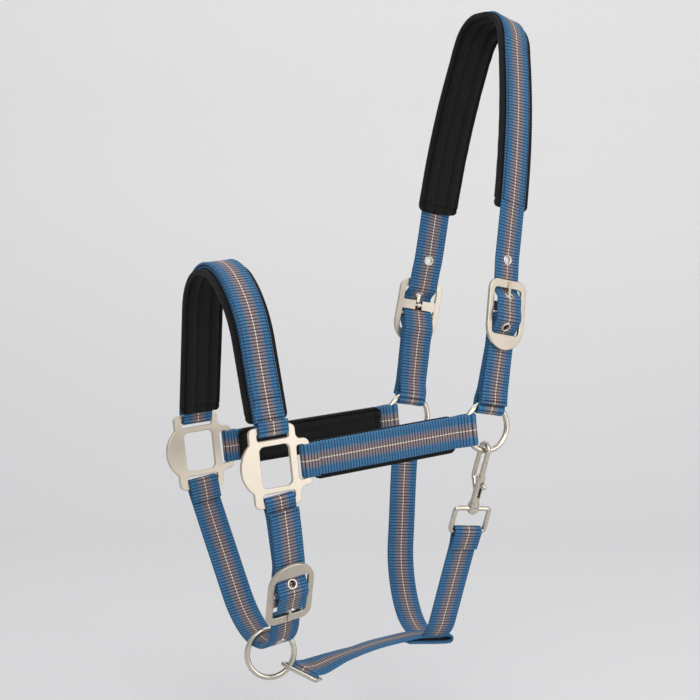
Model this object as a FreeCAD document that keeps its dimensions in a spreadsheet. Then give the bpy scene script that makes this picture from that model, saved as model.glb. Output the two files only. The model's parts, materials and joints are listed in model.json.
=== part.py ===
import FreeCAD, Part
import math
import os
import Sketcher

# Head collar for a horse: webbing straps, padded linings, cast plates and buckles,
# welded rings and a bolt snap.  Millimetres, +Z up, nose toward -X, the horse's left
# side toward -Y.  The origin is half way between the centres of the two side rings.

V = FreeCAD.Vector
C = Sketcher.Constraint
PARTS = "parts"
doc = FreeCAD.newDocument("head_halter")
sheet = doc.addObject("Spreadsheet::Sheet", "dims")
size = {}


def dim(alias, value):
    """One driving dimension: a plain number in the sheet, with an alias."""
    row = len(size) + 1
    sheet.set("A%d" % row, alias)
    sheet.set("B%d" % row, "%.4f" % value)
    sheet.setAlias("B%d" % row, alias)
    size[alias] = value
    return value


DRIVING = {
    # tilt of each strap loop about the Y axis through the origin, degrees
    "front_tilt": -6.5, "crown_tilt": 8.3, "throat_tilt": 4.5, "chin_tilt": -4.5,
    # webbing, overlay and padding
    "web_width": 25.0, "web_thick": 2.4, "double_thick": 4.8,
    "pad_width": 34.0, "cheek_pad_width": 29.0, "cheek_pad_shift": -1.5, "pad_thick": 5.0,
    # rings
    "wire_circle": 18.75, "wire_radius": 2.25, "ring_span": 62.0,
    "fold_bore": 2.55, "fold_outer": 4.95, "fold_apex": 26.2, "fold_reach": 27.5,
    # cheek plates
    "plate_reach": 188.4, "plate_span": 70.0, "plate_thick": 3.0, "chin_drop": 28.0,
    "loop_bore": 1.9,
    # sides of the plate's outline and openings, from the plate's own centre
    "tall_front": -20.0, "tall_back": 18.0, "tall_low": -30.0, "tall_high": 30.0,
    "lug_front": 10.0, "lug_back": 28.5, "lug_low": -18.0, "lug_high": 17.5,
    "bow_half": 18.0, "bow_depth": 8.5,
    "window_front": -12.5, "window_back": 12.0, "window_low": -15.5, "window_high": 15.5,
    "top_slot_front": -13.5, "top_slot_back": 12.5, "top_slot_low": 19.8, "top_slot_high": 25.5,
    "low_slot_front": -13.0, "low_slot_back": 13.0, "low_slot_low": -25.5, "low_slot_high": -19.5,
    "rear_slot_front": 17.8, "rear_slot_back": 24.0, "rear_slot_low": -12.8, "rear_slot_high": 12.8,
    # straight run of the cheek pieces, between the seams at the ring and at the plate
    "seam_start": 27.8, "seam_side": 62.14, "cheek_yaw": 2.485, "cheek_run": 128.0,
    # buckles
    "buckle_width": 38.0, "buckle_thick": 3.0, "neck_radius": 1.5, "chape_bar_radius": 1.4,
    "crown_buckle_span": 69.0, "crown_buckle_height": 89.0, "crown_buckle_lean": 5.0, "flare": 9.0,
    "chin_buckle_out": 60.0, "chin_buckle_down": 70.0, "chin_buckle_lean": 30.0,
    "tongue_wide": 2.4, "eyelet_hole": 2.5, "eyelet_rim": 1.75, "eyelet_height": 3.0,
    # chin ring, jaw link, snap
    "chin_ring_side": -3.5, "chin_ring_drop": 127.3, "chin_ring_yaw": 11.0,
    "link_front": 137.0, "link_side": 10.6, "link_low": 189.3, "link_turn": 48.5,
    "link_pitch": 21.1, "link_roll": 9.9, "link_wire": 3.0,
    "snap_side": -50.4, "snap_drop": 65.3, "snap_lean": 20.0, "snap_wire": 4.0,
}
for alias, value in DRIVING.items():
    dim(alias, value)
sheet.recompute()

AT_ORIGIN = "placement(vector(0; 0; 0); rotation(0; 0; 0))"
FRONT = "placement(vector(0; 0; 0); rotation(vector(0; 1; 0); dims.front_tilt))"
CROWN = "placement(vector(0; 0; 0); rotation(vector(0; 1; 0); dims.crown_tilt))"
THROAT = "placement(vector(0; 0; 0); rotation(vector(0; 1; 0); dims.throat_tilt))"
CHIN = FRONT + (" * placement(vector(-dims.plate_reach; 0; -dims.chin_drop);"
                " rotation(vector(0; 1; 0); dims.chin_tilt))")
FRONT_NOSE = FRONT + " * placement(vector(-dims.plate_reach; 0; 0); rotation(0; 0; 0))"
# a drawing of a strap loop: sketch x along +Y, sketch y along +Z
UPRIGHT = FreeCAD.Placement(V(0, 0, 0), FreeCAD.Rotation(V(0, 1, 0), V(0, 0, 1), V(1, 0, 0), "XYZ"))
FLAT = FreeCAD.Placement()
SIDE = FreeCAD.Placement(V(0, 0, 0), FreeCAD.Rotation(V(1, 0, 0), V(0, 0, 1), V(0, -1, 0), "XYZ"))


def bind(obj, prop, expression):
    obj.setExpression(prop, expression)
    return obj


def sketch(name, plane):
    drawing = doc.addObject("Sketcher::SketchObject", name)
    drawing.Placement = plane
    return drawing


def constrain(drawing, rules):
    """Adds constraints together; a value given by an alias is bound to that cell of the sheet."""
    plain = [C(*[size[item] if number and isinstance(item, str) else item
                 for number, item in enumerate(rule)]) for rule in rules]
    first = drawing.ConstraintCount
    drawing.addConstraint(plain)
    for number, rule in enumerate(rules):
        if isinstance(rule[-1], str):
            drawing.setExpression("Constraints[%d]" % (first + number), "dims." + rule[-1])


def bend_points(points):
    """Where each line leaves and reaches the bends of a route of corners (x, y, radius)."""
    runs = []
    for a, b in zip(points, points[1:]):
        step = V(b[0] - a[0], b[1] - a[1], 0)
        runs.append(step.normalize())
    cuts = [0.0]
    turns = [0.0]
    for corner, before, after in zip(points[1:-1], runs, runs[1:]):
        turn = math.atan2(before.cross(after).z, before.dot(after))
        turns.append(turn)
        cuts.append(corner[2] * math.tan(abs(turn) / 2))
    return runs, cuts + [0.0], turns + [0.0]


def route(name, points, plane=UPRIGHT, closed=False):
    """Lines and tangent arcs through corners (x, y, bend radius), fully constrained."""
    if closed:
        middle = [(points[0][0] + points[-1][0]) / 2, (points[0][1] + points[-1][1]) / 2, 0]
        points = [middle] + list(points) + [middle]
    drawing = sketch(name, plane)
    runs, cuts, turns = bend_points(points)
    for number, (x, y, radius) in enumerate(points):
        dim("%s_x%d" % (name, number), x)
        dim("%s_y%d" % (name, number), y)
        if radius:
            dim("%s_r%d" % (name, number), radius)
    sheet.recompute()
    lines = []
    corner = []
    for number, run in enumerate(runs):
        a = V(points[number][0], points[number][1], 0) + run * cuts[number]
        b = V(points[number + 1][0], points[number + 1][1], 0) - run * cuts[number + 1]
        lines.append(drawing.addGeometry(Part.LineSegment(a, b)))
        if number + 2 < len(points):
            turn = turns[number + 1]
            radius = points[number + 1][2]
            side = math.copysign(1, turn)
            centre = b + V(-run.y, run.x, 0) * radius * side
            start = math.atan2(b.y - centre.y, b.x - centre.x)
            low, high = sorted([start, start + turn])
            arc = Part.ArcOfCircle(Part.Circle(centre, V(0, 0, 1), radius), low, high)
            corner.append((drawing.addGeometry(arc), 1 if turn > 0 else 2, 2 if turn > 0 else 1))
    rules = []
    for number, (arc, enter, leave) in enumerate(corner):
        mark = drawing.addGeometry(Part.Point(V(points[number + 1][0], points[number + 1][1], 0)), True)
        cell = "%s_%%s%d" % (name, number + 1)
        rules += [("DistanceX", -1, 1, mark, 1, cell % "x"), ("DistanceY", -1, 1, mark, 1, cell % "y"),
                  ("PointOnObject", mark, 1, lines[number]), ("PointOnObject", mark, 1, lines[number + 1]),
                  ("Tangent", lines[number], 2, arc, enter), ("Tangent", arc, leave, lines[number + 1], 1),
                  ("Radius", arc, cell % "r")]
    for line, end, number in ((lines[0], 1, 0), (lines[-1], 2, len(points) - 1)):
        rules += [("DistanceX", -1, 1, line, end, "%s_x%d" % (name, number)),
                  ("DistanceY", -1, 1, line, end, "%s_y%d" % (name, number))]
    constrain(drawing, rules)
    return drawing


def face(name, drawing, thick, lift=None):
    """The route given a thickness: to its right-hand side where thick starts with no sign."""
    if lift:
        shifted = doc.addObject("Part::Offset2D", name + "_line")
        shifted.Source = drawing
        shifted.Mode = "Skin"
        bind(shifted, "Value", lift)
        drawing = shifted
    skin = doc.addObject("Part::Offset2D", name + "_face")
    skin.Source = drawing
    skin.Mode = "Skin"
    skin.Fill = True
    bind(skin, "Value", thick)
    return skin


def ribbon(name, drawing, thick, width, frame, lift=None):
    """Webbing: a route with a thickness, drawn out to its width each side of the drawing."""
    band = doc.addObject("Part::Extrusion", name)
    band.Base = face(name, drawing, thick, lift)
    band.DirMode = "Normal"
    band.Symmetric = True
    band.Solid = True
    bind(band, "LengthFwd", width)
    bind(band, "Placement", frame)
    return band


def box(name, corner, extent, frame):
    """A block from its lowest corner and its three sizes, each an expression."""
    block = doc.addObject("Part::Box", name)
    for prop, value in zip(("Length", "Width", "Height"), extent):
        bind(block, prop, value)
    bind(block, "Placement", frame + " * placement(vector(%s; %s; %s); rotation(0; 0; 0))" % corner)
    return block


def join(name, kind, pieces):
    whole = doc.addObject(kind, name)
    if kind == "Part::Cut":
        whole.Base, whole.Tool = pieces
    else:
        whole.Shapes = pieces
    return whole


def mirrored(name, source):
    copy = doc.addObject("Part::Mirroring", name)
    copy.Source = source
    copy.Normal = V(0, 1, 0)
    return copy


nodes = {}


def node(name, obj):
    obj.Label = name
    nodes[name] = obj
    return obj


# ---------------------------------------------------------------- noseband and cheeks
OVERLAY_FOOT = 32.6


def shoulder_route():
    """Interface between the noseband's webbing (inside) and its overlay, near to far plate."""
    return [(-53.8, 120.6, 78.3), (-4.6, 163.3, 40.9), (31.9, 130.4, 50.0)]


def level_point(a, b, height):
    """Where the straight line through two corners is at a height: the end of a route that follows it."""
    share = (height - a[1]) / (b[1] - a[1])
    return (a[0] + share * (b[0] - a[0]), height, 0)


def make_noseband():
    span = size["plate_span"]
    bore = size["loop_bore"]
    foot = 24.7
    tail = 32.3
    near = [(-span - bore, tail, 0), (-span - bore, foot, 1.8), (-span + bore, foot, 1.8)]
    far = [(span - bore, foot, 1.8), (span + bore, foot, 1.8), (span + bore, tail, 0)]
    whole = route("nose_web", near + shoulder_route() + far)
    node("noseband_webbing",
         ribbon("noseband_webbing", whole, "dims.web_thick", "dims.web_width", FRONT_NOSE))
    shoulders = shoulder_route()
    start = level_point(near[-1], shoulders[0], OVERLAY_FOOT)
    end = level_point(far[0], shoulders[-1], OVERLAY_FOOT)
    middle = route("nose_line", [start] + shoulders + [end])
    node("noseband_overlay",
         ribbon("noseband_overlay", middle, "-dims.web_thick", "dims.web_width", FRONT_NOSE))
    node("noseband_padding",
         ribbon("noseband_padding", middle, "dims.pad_thick", "dims.pad_width", FRONT_NOSE, "dims.web_thick"))


def make_cheek():
    """Left cheek: webbing looped on the plate and folded on the ring, overlay and padding."""
    span = size["plate_span"]
    bore = size["loop_bore"]
    reach = size["plate_reach"]
    bar_front = -reach + 23.2
    tail = -reach + 32.3
    web = route("cheek_web", [(-24.5, -size["ring_span"], 0), (bar_front, -span + bore, 1.8),
                              (bar_front, -span - bore, 1.8), (tail, -span - bore, 0)], FLAT)
    band = ribbon("cheek_band", web, "dims.web_thick", "dims.web_width", FRONT)
    fold = ring_fold("cheek_fold", FRONT, "-dims.ring_span", 180)
    node("cheek_webbing_left", join("cheek_webbing_left", "Part::MultiFuse", [band, fold]))
    slope = (FRONT + " * placement(vector(-dims.seam_start; -dims.seam_side; 0);"
             " rotation(vector(0; 0; 1); dims.cheek_yaw))")
    node("cheek_overlay_left",
         box("cheek_overlay_left", ("-dims.cheek_run", "-dims.web_thick", "-dims.web_width / 2"),
             ("dims.cheek_run", "dims.web_thick", "dims.web_width"), slope))
    node("cheek_padding_left",
         box("cheek_padding_left", ("-dims.cheek_run", "dims.web_thick",
                                    "-dims.cheek_pad_width / 2 + dims.cheek_pad_shift"),
             ("dims.cheek_run", "dims.pad_thick", "dims.cheek_pad_width"), slope))
    for piece in ("cheek_webbing", "cheek_overlay", "cheek_padding"):
        node(piece + "_right", mirrored(piece + "_right", nodes[piece + "_left"]))


def ring_fold(name, frame, side, turn):
    """The fold of a strap round a ring's wire: a teardrop turned about the ring's axis."""
    drawing = sketch(name + "_drawing", SIDE)
    centre = V(size["wire_circle"], 0, 0)
    outlines = (("fold_outer", "fold_reach", size["web_thick"]), ("fold_bore", "fold_apex", 0.0))
    for radius, end, half in outlines:
        away = V(size[end], half, 0)
        gap = away - centre
        open_angle = math.atan2(gap.y, gap.x) + math.acos(size[radius] / gap.Length)
        touch = centre + V(math.cos(open_angle), math.sin(open_angle), 0) * size[radius]
        arc = drawing.addGeometry(Part.ArcOfCircle(Part.Circle(centre, V(0, 0, 1), size[radius]),
                                                   open_angle, 2 * math.pi - open_angle))
        upper = drawing.addGeometry(Part.LineSegment(touch, away))
        lower = drawing.addGeometry(Part.LineSegment(V(touch.x, -touch.y, 0), V(away.x, -away.y, 0)))
        drawing.addConstraint(C("Tangent", arc, 1, upper, 1))
        drawing.addConstraint(C("Tangent", arc, 2, lower, 1))
        drawing.addConstraint(C("PointOnObject", arc, 3, -1))
        constrain(drawing, [("DistanceX", -1, 1, arc, 3, "wire_circle"), ("Radius", arc, radius),
                            ("DistanceX", -1, 1, upper, 2, end)])
        if half:
            close = drawing.addGeometry(Part.LineSegment(away, V(away.x, -away.y, 0)))
            drawing.addConstraint(C("Coincident", upper, 2, close, 1))
            drawing.addConstraint(C("Coincident", lower, 2, close, 2))
            drawing.addConstraint(C("Symmetric", upper, 2, lower, 2, -1))
            constrain(drawing, [("DistanceY", close, 2, close, 1, "double_thick")])
        else:
            drawing.addConstraint(C("Coincident", upper, 2, lower, 2))
            drawing.addConstraint(C("PointOnObject", upper, 2, -1))
    turned = doc.addObject("Part::Revolution", name + "_turned")
    turned.Source = drawing
    turned.Axis = V(0, 0, 1)
    turned.Angle = 76
    turned.Symmetric = True
    turned.Solid = True
    block = box(name + "_block", ("5", "-dims.web_width / 2", "-10"), ("40", "dims.web_width", "20"),
                AT_ORIGIN)
    fold = join(name, "Part::MultiCommon", [turned, block])
    return bind(fold, "Placement", frame + " * placement(vector(0; %s; 0); rotation(vector(0; 1; 0); %g))"
                " * placement(vector(0; 0; 0); rotation(vector(1; 0; 0); -90))" % (side, turn))


def plate_outline(body):
    """Cast plate: a tall plate with a rear lug and a bowed front, before its openings."""
    sketch_pad(body, "plate_tall", "tall_front", "tall_back", "tall_low", "tall_high", "dims.plate_thick")
    sketch_pad(body, "plate_lug", "lug_front", "lug_back", "lug_low", "lug_high", "dims.plate_thick")
    drawing = plane_sketch(body, "plate_bow", "XZ_Plane")
    front = size["tall_front"]
    half = size["bow_half"]
    bow = Part.Arc(V(front, half, 0), V(front - size["bow_depth"], 0, 0), V(front, -half, 0))
    arc = drawing.addGeometry(bow)
    line = drawing.addGeometry(Part.LineSegment(V(front, half, 0), V(front, -half, 0)))
    start, end = (1, 2) if drawing.Geometry[arc].StartPoint.y > 0 else (2, 1)
    drawing.addConstraint(C("Coincident", arc, start, line, 1))
    drawing.addConstraint(C("Coincident", arc, end, line, 2))
    constrain(drawing, [("DistanceX", -1, 1, line, 1, "tall_front"),
                        ("DistanceY", -1, 1, line, 1, "bow_half")])
    drawing.addConstraint(C("Symmetric", line, 1, line, 2, -1))
    drawing.addConstraint(C("Radius", arc, bow.toShape().Curve.Radius))
    pad(body, drawing, "dims.plate_thick")


def plane_sketch(body, name, role):
    drawing = body.newObject("Sketcher::SketchObject", name)
    plane = [item for item in body.Origin.OriginFeatures if item.Role == role][0]
    drawing.AttachmentSupport = [(plane, "")]
    drawing.MapMode = "FlatFace"
    return drawing


def pad(body, drawing, thick, kind="PartDesign::Pad"):
    feature = body.newObject(kind, drawing.Name + "_feature")
    feature.Profile = drawing
    feature.SideType = "Symmetric"
    bind(feature, "Length", thick)
    return feature


def rectangle(drawing, left, right, low, high):
    """A rectangle whose sides are plain numbers or cells of the sheet."""
    x0, x1, y0, y1 = [size[side] if isinstance(side, str) else side for side in (left, right, low, high)]
    corners = [V(x0, y0, 0), V(x1, y0, 0), V(x1, y1, 0), V(x0, y1, 0)]
    first = drawing.GeometryCount
    for a, b in zip(corners, corners[1:] + corners[:1]):
        drawing.addGeometry(Part.LineSegment(a, b))
    for side in range(4):
        drawing.addConstraint(C("Coincident", first + side, 2, first + (side + 1) % 4, 1))
        drawing.addConstraint(C("Vertical" if side % 2 else "Horizontal", first + side))
    constrain(drawing, [("DistanceX", -1, 1, first, 1, left), ("DistanceY", -1, 1, first, 1, low),
                        ("DistanceX", -1, 1, first + 2, 1, right),
                        ("DistanceY", -1, 1, first + 2, 1, high)])


def sketch_pad(body, name, left, right, low, high, thick, kind="PartDesign::Pad"):
    drawing = plane_sketch(body, name, "XZ_Plane")
    rectangle(drawing, left, right, low, high)
    return pad(body, drawing, thick, kind)


def round_edges(body, name, edges, radius):
    feature = body.newObject("PartDesign::Fillet", name)
    feature.Base = (body.Tip if body.Tip != feature else feature.BaseFeature, edges)
    feature.Radius = radius
    body.Tip = feature
    return feature


def upright_edges(shape, test):
    """Names of the straight edges through the thickness whose place passes the test."""
    found = []
    for number, edge in enumerate(shape.Edges):
        box_ = edge.BoundBox
        if box_.YLength > 2 and box_.XLength < 0.01 and box_.ZLength < 0.01:
            if test(edge.CenterOfMass.x, edge.CenterOfMass.z):
                found.append("Edge%d" % (number + 1))
    return found


def make_plate():
    body = doc.addObject("PartDesign::Body", "cheek_plate_left")
    plate_outline(body)
    for opening in ("window", "top_slot", "low_slot", "rear_slot"):
        sides = [opening + side for side in ("_front", "_back", "_low", "_high")]
        sketch_pad(body, "plate_" + opening, *sides, "2 * dims.plate_thick", "PartDesign::Pocket")
    body.recompute(True)
    outer = upright_edges(body.Shape, lambda x, z: (abs(z) > 29 or x > 28 or (abs(z) > 17 and 17 < x < 19)))
    round_edges(body, "plate_corners", outer, 4.6)
    body.recompute(True)
    window = upright_edges(body.Shape, lambda x, z: abs(x) < 14 and 14 < abs(z) < 17)
    round_edges(body, "plate_window_corners", window, 4.0)
    body.recompute(True)
    slots = upright_edges(body.Shape, lambda x, z: (abs(x) < 14 and 19 < abs(z) < 26)
                          or (17 < x < 25 and abs(z) < 14))
    round_edges(body, "plate_slot_corners", slots, 2.0)
    body.recompute(True)
    rims = ["Edge%d" % (n + 1) for n, edge in enumerate(body.Shape.Edges) if edge.BoundBox.YLength < 0.01]
    round_edges(body, "plate_rims", rims, 0.6)
    body.recompute(True)
    bind(body, "Placement", FRONT +
         " * placement(vector(-dims.plate_reach; -dims.plate_span; 0); rotation(0; 0; 0))")
    node("cheek_plate_left", body)
    node("cheek_plate_right", mirrored("cheek_plate_right", body))


# ---------------------------------------------------------------- rings
def make_rings():
    upright = "placement(vector(0; %sdims.ring_span; 0); rotation(vector(1; 0; 0); 90))"
    for name, place in (("side_ring_left", upright % "-"), ("side_ring_right", upright % ""),
                        ("chin_ring", CHIN_RING)):
        ring = doc.addObject("Part::Torus", name)
        bind(ring, "Radius1", "dims.wire_circle")
        bind(ring, "Radius2", "dims.wire_radius")
        bind(ring, "Placement", place)
        node(name, ring)


CHIN_RING = CHIN + (" * placement(vector(0; dims.chin_ring_side; -dims.chin_ring_drop);"
                    " rotation(vector(0; 0; 1); -dims.chin_ring_yaw))"
                    " * placement(vector(0; 0; 0); rotation(vector(1; 0; 0); 90))")


# ---------------------------------------------------------------- buckles
CROWN_BUCKLE = (CROWN + " * placement(vector(0; -dims.crown_buckle_span; dims.crown_buckle_height);"
                " rotation(vector(1; 0; 0); -dims.crown_buckle_lean))"
                " * placement(vector(0; 0; 0); rotation(vector(0; 0; 1); dims.flare))")
CHIN_BUCKLE = (CHIN + " * placement(vector(0; -dims.chin_buckle_out; -dims.chin_buckle_down);"
               " rotation(vector(1; 0; 0); dims.chin_buckle_lean - 180))"
               " * placement(vector(0; 0; 0); rotation(vector(0; 0; 1); 180))")

TIP = (20.3, 27.2)
TONGUE_BAR = (1.5, 9.0)
NECK = 5.25
CHAPE = -2.7
WINDOW = 14.0
SHIELD = -15.8


def make_buckle_frame(name, place):
    """Rounded shield at the bottom, tip bar at the top, tongue bar and chape bar between."""
    half = size["buckle_width"] / 2
    base = half - 28.2
    body = doc.addObject("PartDesign::Body", name)
    sketch_pad(body, name + "_block", -half, half, base, TIP[1], "dims.buckle_thick")
    disc = plane_sketch(body, name + "_disc", "XZ_Plane")
    disc.addGeometry(Part.Circle(V(0, base, 0), V(0, 0, 1), half))
    disc.addConstraint(C("PointOnObject", 0, 3, -2))
    disc.addConstraint(C("DistanceY", 0, 3, -1, 1, -base))
    number = disc.addConstraint(C("Radius", 0, half))
    disc.setExpression("Constraints[%d]" % number, "dims.buckle_width / 2")
    pad(body, disc, "dims.buckle_thick")
    sketch_pad(body, name + "_window", -WINDOW, WINDOW, SHIELD, TIP[0], "2 * dims.buckle_thick",
               "PartDesign::Pocket")
    body.recompute(True)
    round_edges(body, name + "_corners", upright_edges(body.Shape, lambda x, z: z > TIP[1] - 0.1), 8.5)
    body.recompute(True)
    round_edges(body, name + "_window_corners",
                upright_edges(body.Shape, lambda x, z: abs(x) < WINDOW + 0.1
                              and (z > TIP[0] - 1 or z < SHIELD + 1)), 3.0)
    body.recompute(True)
    rims = ["Edge%d" % (n + 1) for n, edge in enumerate(body.Shape.Edges) if edge.BoundBox.YLength < 0.01]
    round_edges(body, name + "_rims", rims, 0.7)
    side = WINDOW + 0.3
    for part, low, high in (("_bar_left", -side, -3.0), ("_bar_right", 3.0, side)):
        sketch_pad(body, name + part, low, high, TONGUE_BAR[0], TONGUE_BAR[1], "dims.buckle_thick")
    frame = body
    neck = doc.addObject("Part::Cylinder", name + "_neck")
    bind(neck, "Radius", "dims.neck_radius - 0.01")
    neck.Height = 7
    neck.Placement = FreeCAD.Placement(V(-3.5, 0, NECK), FreeCAD.Rotation(V(0, 1, 0), 90))
    bar = doc.addObject("Part::Cylinder", name + "_chape_bar")
    bind(bar, "Radius", "dims.chape_bar_radius")
    bar.Height = 2 * side
    bar.Placement = FreeCAD.Placement(V(-side, 0, CHAPE), FreeCAD.Rotation(V(0, 1, 0), 90))
    whole = join(name + "_whole", "Part::MultiFuse", [frame, neck, bar])
    return node(name, bind(whole, "Placement", place))


def make_tongue(name, place):
    """Tongue: an eye round the neck of its bar and a prong that rests on the tip bar."""
    wide = "dims.tongue_wide"
    eye = doc.addObject("Part::Cylinder", name + "_eye")
    bind(eye, "Radius", "dims.neck_radius + 1.1")
    bind(eye, "Height", wide)
    eye.Placement = FreeCAD.Placement(V(-size["tongue_wide"] / 2, 0, NECK), FreeCAD.Rotation(V(0, 1, 0), 90))
    bore = doc.addObject("Part::Cylinder", name + "_bore")
    bind(bore, "Radius", "dims.neck_radius + 0.06")
    bore.Height = 10
    bore.Placement = FreeCAD.Placement(V(-5, 0, NECK), FreeCAD.Rotation(V(0, 1, 0), 90))
    prong = box(name + "_prong", ("-" + wide + " / 2", "-2.85", "%g" % NECK), (wide, "1.2", "20.4"),
                AT_ORIGIN)
    solid = join(name + "_solid", "Part::MultiFuse", [eye, prong])
    whole = join(name + "_whole", "Part::Cut", [solid, bore])
    return node(name, bind(whole, "Placement", place))


def weave(origin, lean, flip=1):
    """Corners of the strap through a buckle, from the shield to the tip bar, in its loop's plane."""
    run = [(-3.2, -24, 11), (-3.2, -15, 4), (5.7, -4.6, 4), (5.7, -1, 5), (4.2, 5, 5),
           (4.2, 12.5, 3.2), (-3, 19.2, 3.2), (-3, 29.5, 15)]
    return [along(origin, lean, out, up) + (bend,) for out, up, bend in run]


def along(origin, lean, out, up):
    """A place in a buckle, out from its plane and up toward its tip bar, in its loop's plane."""
    angle = math.radians(lean)
    return (origin[0] + up * math.sin(angle) - out * math.cos(angle) * math.copysign(1, math.cos(angle)),
            origin[1] + up * math.cos(angle) + out * math.sin(angle) * math.copysign(1, math.cos(angle)))


def flared(name, points, shifts, frame, thick, width, lift=None):
    """A band whose front edge is moved out by each corner's shift and its rear edge moved in."""
    sides = []
    for label, sign in (("front", 1), ("rear", -1)):
        moved = [(x + sign * dx, y + sign * dy, radius) for (x, y, radius), (dx, dy) in zip(points, shifts)]
        drawing = route("%s_%s" % (name, label), moved)
        cell = "%s_%s_half" % (name, label)
        dim(cell, -sign * width / 2)
        sheet.recompute()
        bind(drawing, "Placement.Base.x", "dims." + cell)
        sides.append(face("%s_%s" % (name, label), drawing, thick, lift))
    band = doc.addObject("Part::Loft", name)
    band.Sections = sides
    band.Solid = True
    band.Ruled = True
    return bind(band, "Placement", frame)


def far_side(points):
    return [(-p[0],) + tuple(p[1:]) for p in reversed(points)]


def eyelet(name, frame, place, lean, turn="dims.flare"):
    """A rolled eyelet on the middle of a strap, its axis square to the strap."""
    for part, value in zip(("side", "high", "lean"), (place[0], place[1], lean)):
        dim("%s_%s" % (name, part), value)
    sheet.recompute()
    spot = frame + (" * placement(vector(0; dims.{0}_side; dims.{0}_high);"
                    " rotation(vector(1; 0; 0); dims.{0}_lean))"
                    " * placement(vector(0; 0; 0); rotation(vector(0; 0; 1); {1}))"
                    " * placement(vector(0; 0; 0); rotation(vector(1; 0; 0); 90))").format(name, turn)
    drawing = sketch(name + "_drawing", SIDE)
    low = size["eyelet_hole"]
    rim = size["eyelet_rim"]
    tall = size["eyelet_height"] / 2
    rectangle(drawing, low, low + rim, -tall, tall)
    turned = doc.addObject("Part::Revolution", name + "_turned")
    turned.Source = drawing
    turned.Axis = V(0, 0, 1)
    turned.Angle = 360
    turned.Solid = True
    turned.recompute(True)
    smooth = doc.addObject("Part::Fillet", name + "_smooth")
    smooth.Base = turned
    smooth.Edges = [(n + 1, 0.8, 0.8) for n, edge in enumerate(turned.Shape.Edges) if edge.Closed]
    bind(smooth, "Placement", spot)
    punch = doc.addObject("Part::Cylinder", name + "_punch")
    bind(punch, "Radius", "dims.eyelet_hole + dims.eyelet_rim")
    punch.Height = 12
    bind(punch, "Placement", spot + " * placement(vector(0; 0; -6); rotation(0; 0; 0))")
    return smooth, punch


def make_crown():
    origin = (-size["crown_buckle_span"], size["crown_buckle_height"])
    lean = size["crown_buckle_lean"]
    out = math.tan(math.radians(size["flare"])) * size["web_width"] / 2
    woven = weave(origin, lean)
    near = [(-67.6, 21.5, 0)] + woven + [(-61.0, 133.0, 40), (-56.5, 237.0, 490), (-26.5, 331.8, 31)]
    slide = [(-0.3 * out, 0)] + [(-out, 0.0872 * out)] * len(woven) + [(-out, 0), (-out, 0), (-out, out)]
    points = near + far_side(near)
    shifts = slide + far_side(slide)
    band = flared("crown_band", points, shifts, CROWN, "dims.web_thick", size["web_width"],
                  "-dims.web_thick / 2")
    holes = []
    for number, (place, tilt) in enumerate((((-61.05, 132.0), -6.0),
                                            (along(origin, lean, 2.25, 14.31), -47.1 - lean),
                                            (along(origin, lean, 1.25, -9.8), 40.6 - lean))):
        holes.append(eyelet("crown_eye_%d" % number, CROWN, place, tilt))
    return band, holes


def make_crown_parts():
    band, holes = make_crown()
    punches = join("crown_punches", "Part::MultiFuse", [punch for ring, punch in holes])
    both = join("crown_punches_both", "Part::MultiFuse", [punches, mirrored("crown_punches_far", punches)])
    node("crown_webbing", join("crown_webbing", "Part::Cut", [band, both]))
    rings = doc.addObject("Part::Compound", "crown_eyelets_left")
    rings.Links = [ring for ring, punch in holes]
    node("crown_eyelets_left", rings)
    node("crown_eyelets_right", mirrored("crown_eyelets_right", rings))
    out = math.tan(math.radians(size["flare"])) * size["pad_width"] / 2
    near = [(-59.3, 172.0, 0), (-53.9, 245.3, 480), (-26.5, 331.8, 31)]
    slide = [(-out, 0), (-out, 0), (-out, out)]
    node("crown_padding",
         flared("crown_padding", near + far_side(near), slide + far_side(slide), CROWN,
                "dims.pad_thick", size["pad_width"], "dims.web_thick / 2"))


def chape_loop(name, place, span):
    """The closed end of a doubled strap round a buckle's chape bar, and its bore."""
    parts = []
    for part, radius, length in (("_turn", "dims.chape_bar_radius + 2.6", span),
                                 ("_bore", "dims.chape_bar_radius + 0.2", 40)):
        rod = doc.addObject("Part::Cylinder", name + part)
        bind(rod, "Radius", radius)
        rod.Height = length
        bind(rod, "Placement", place + " * placement(vector(%g; 0; %g); rotation(vector(0; 1; 0); 90))"
             % (-length / 2, CHAPE))
        parts.append(rod)
    return parts


def make_buckle_straps():
    """The doubled strap from each side ring up to its crown buckle."""
    origin = (-size["crown_buckle_span"], size["crown_buckle_height"])
    lean = size["crown_buckle_lean"]
    out = math.tan(math.radians(size["flare"])) * size["web_width"] / 2
    points = [(-size["ring_span"], 24.5, 0), along(origin, lean, -6.9, -24) + (30,),
              along(origin, lean, -6.9, -13) + (6,), along(origin, lean, 0, CHAPE) + (0,)]
    band = flared("buckle_strap_band", points, [(0, 0), (-0.8 * out, 0), (-out, 0), (-out, 0)], CROWN,
                  "dims.double_thick", size["web_width"], "-dims.web_thick")
    fold = ring_fold("buckle_strap_fold", CROWN, "-dims.ring_span", -90)
    turn, bore = chape_loop("buckle_strap", CROWN_BUCKLE, size["web_width"])
    solid = join("buckle_strap_solid", "Part::MultiFuse", [band, fold, turn])
    node("buckle_strap_left", join("buckle_strap_left", "Part::Cut", [solid, bore]))
    node("buckle_strap_right", mirrored("buckle_strap_right", nodes["buckle_strap_left"]))


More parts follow.
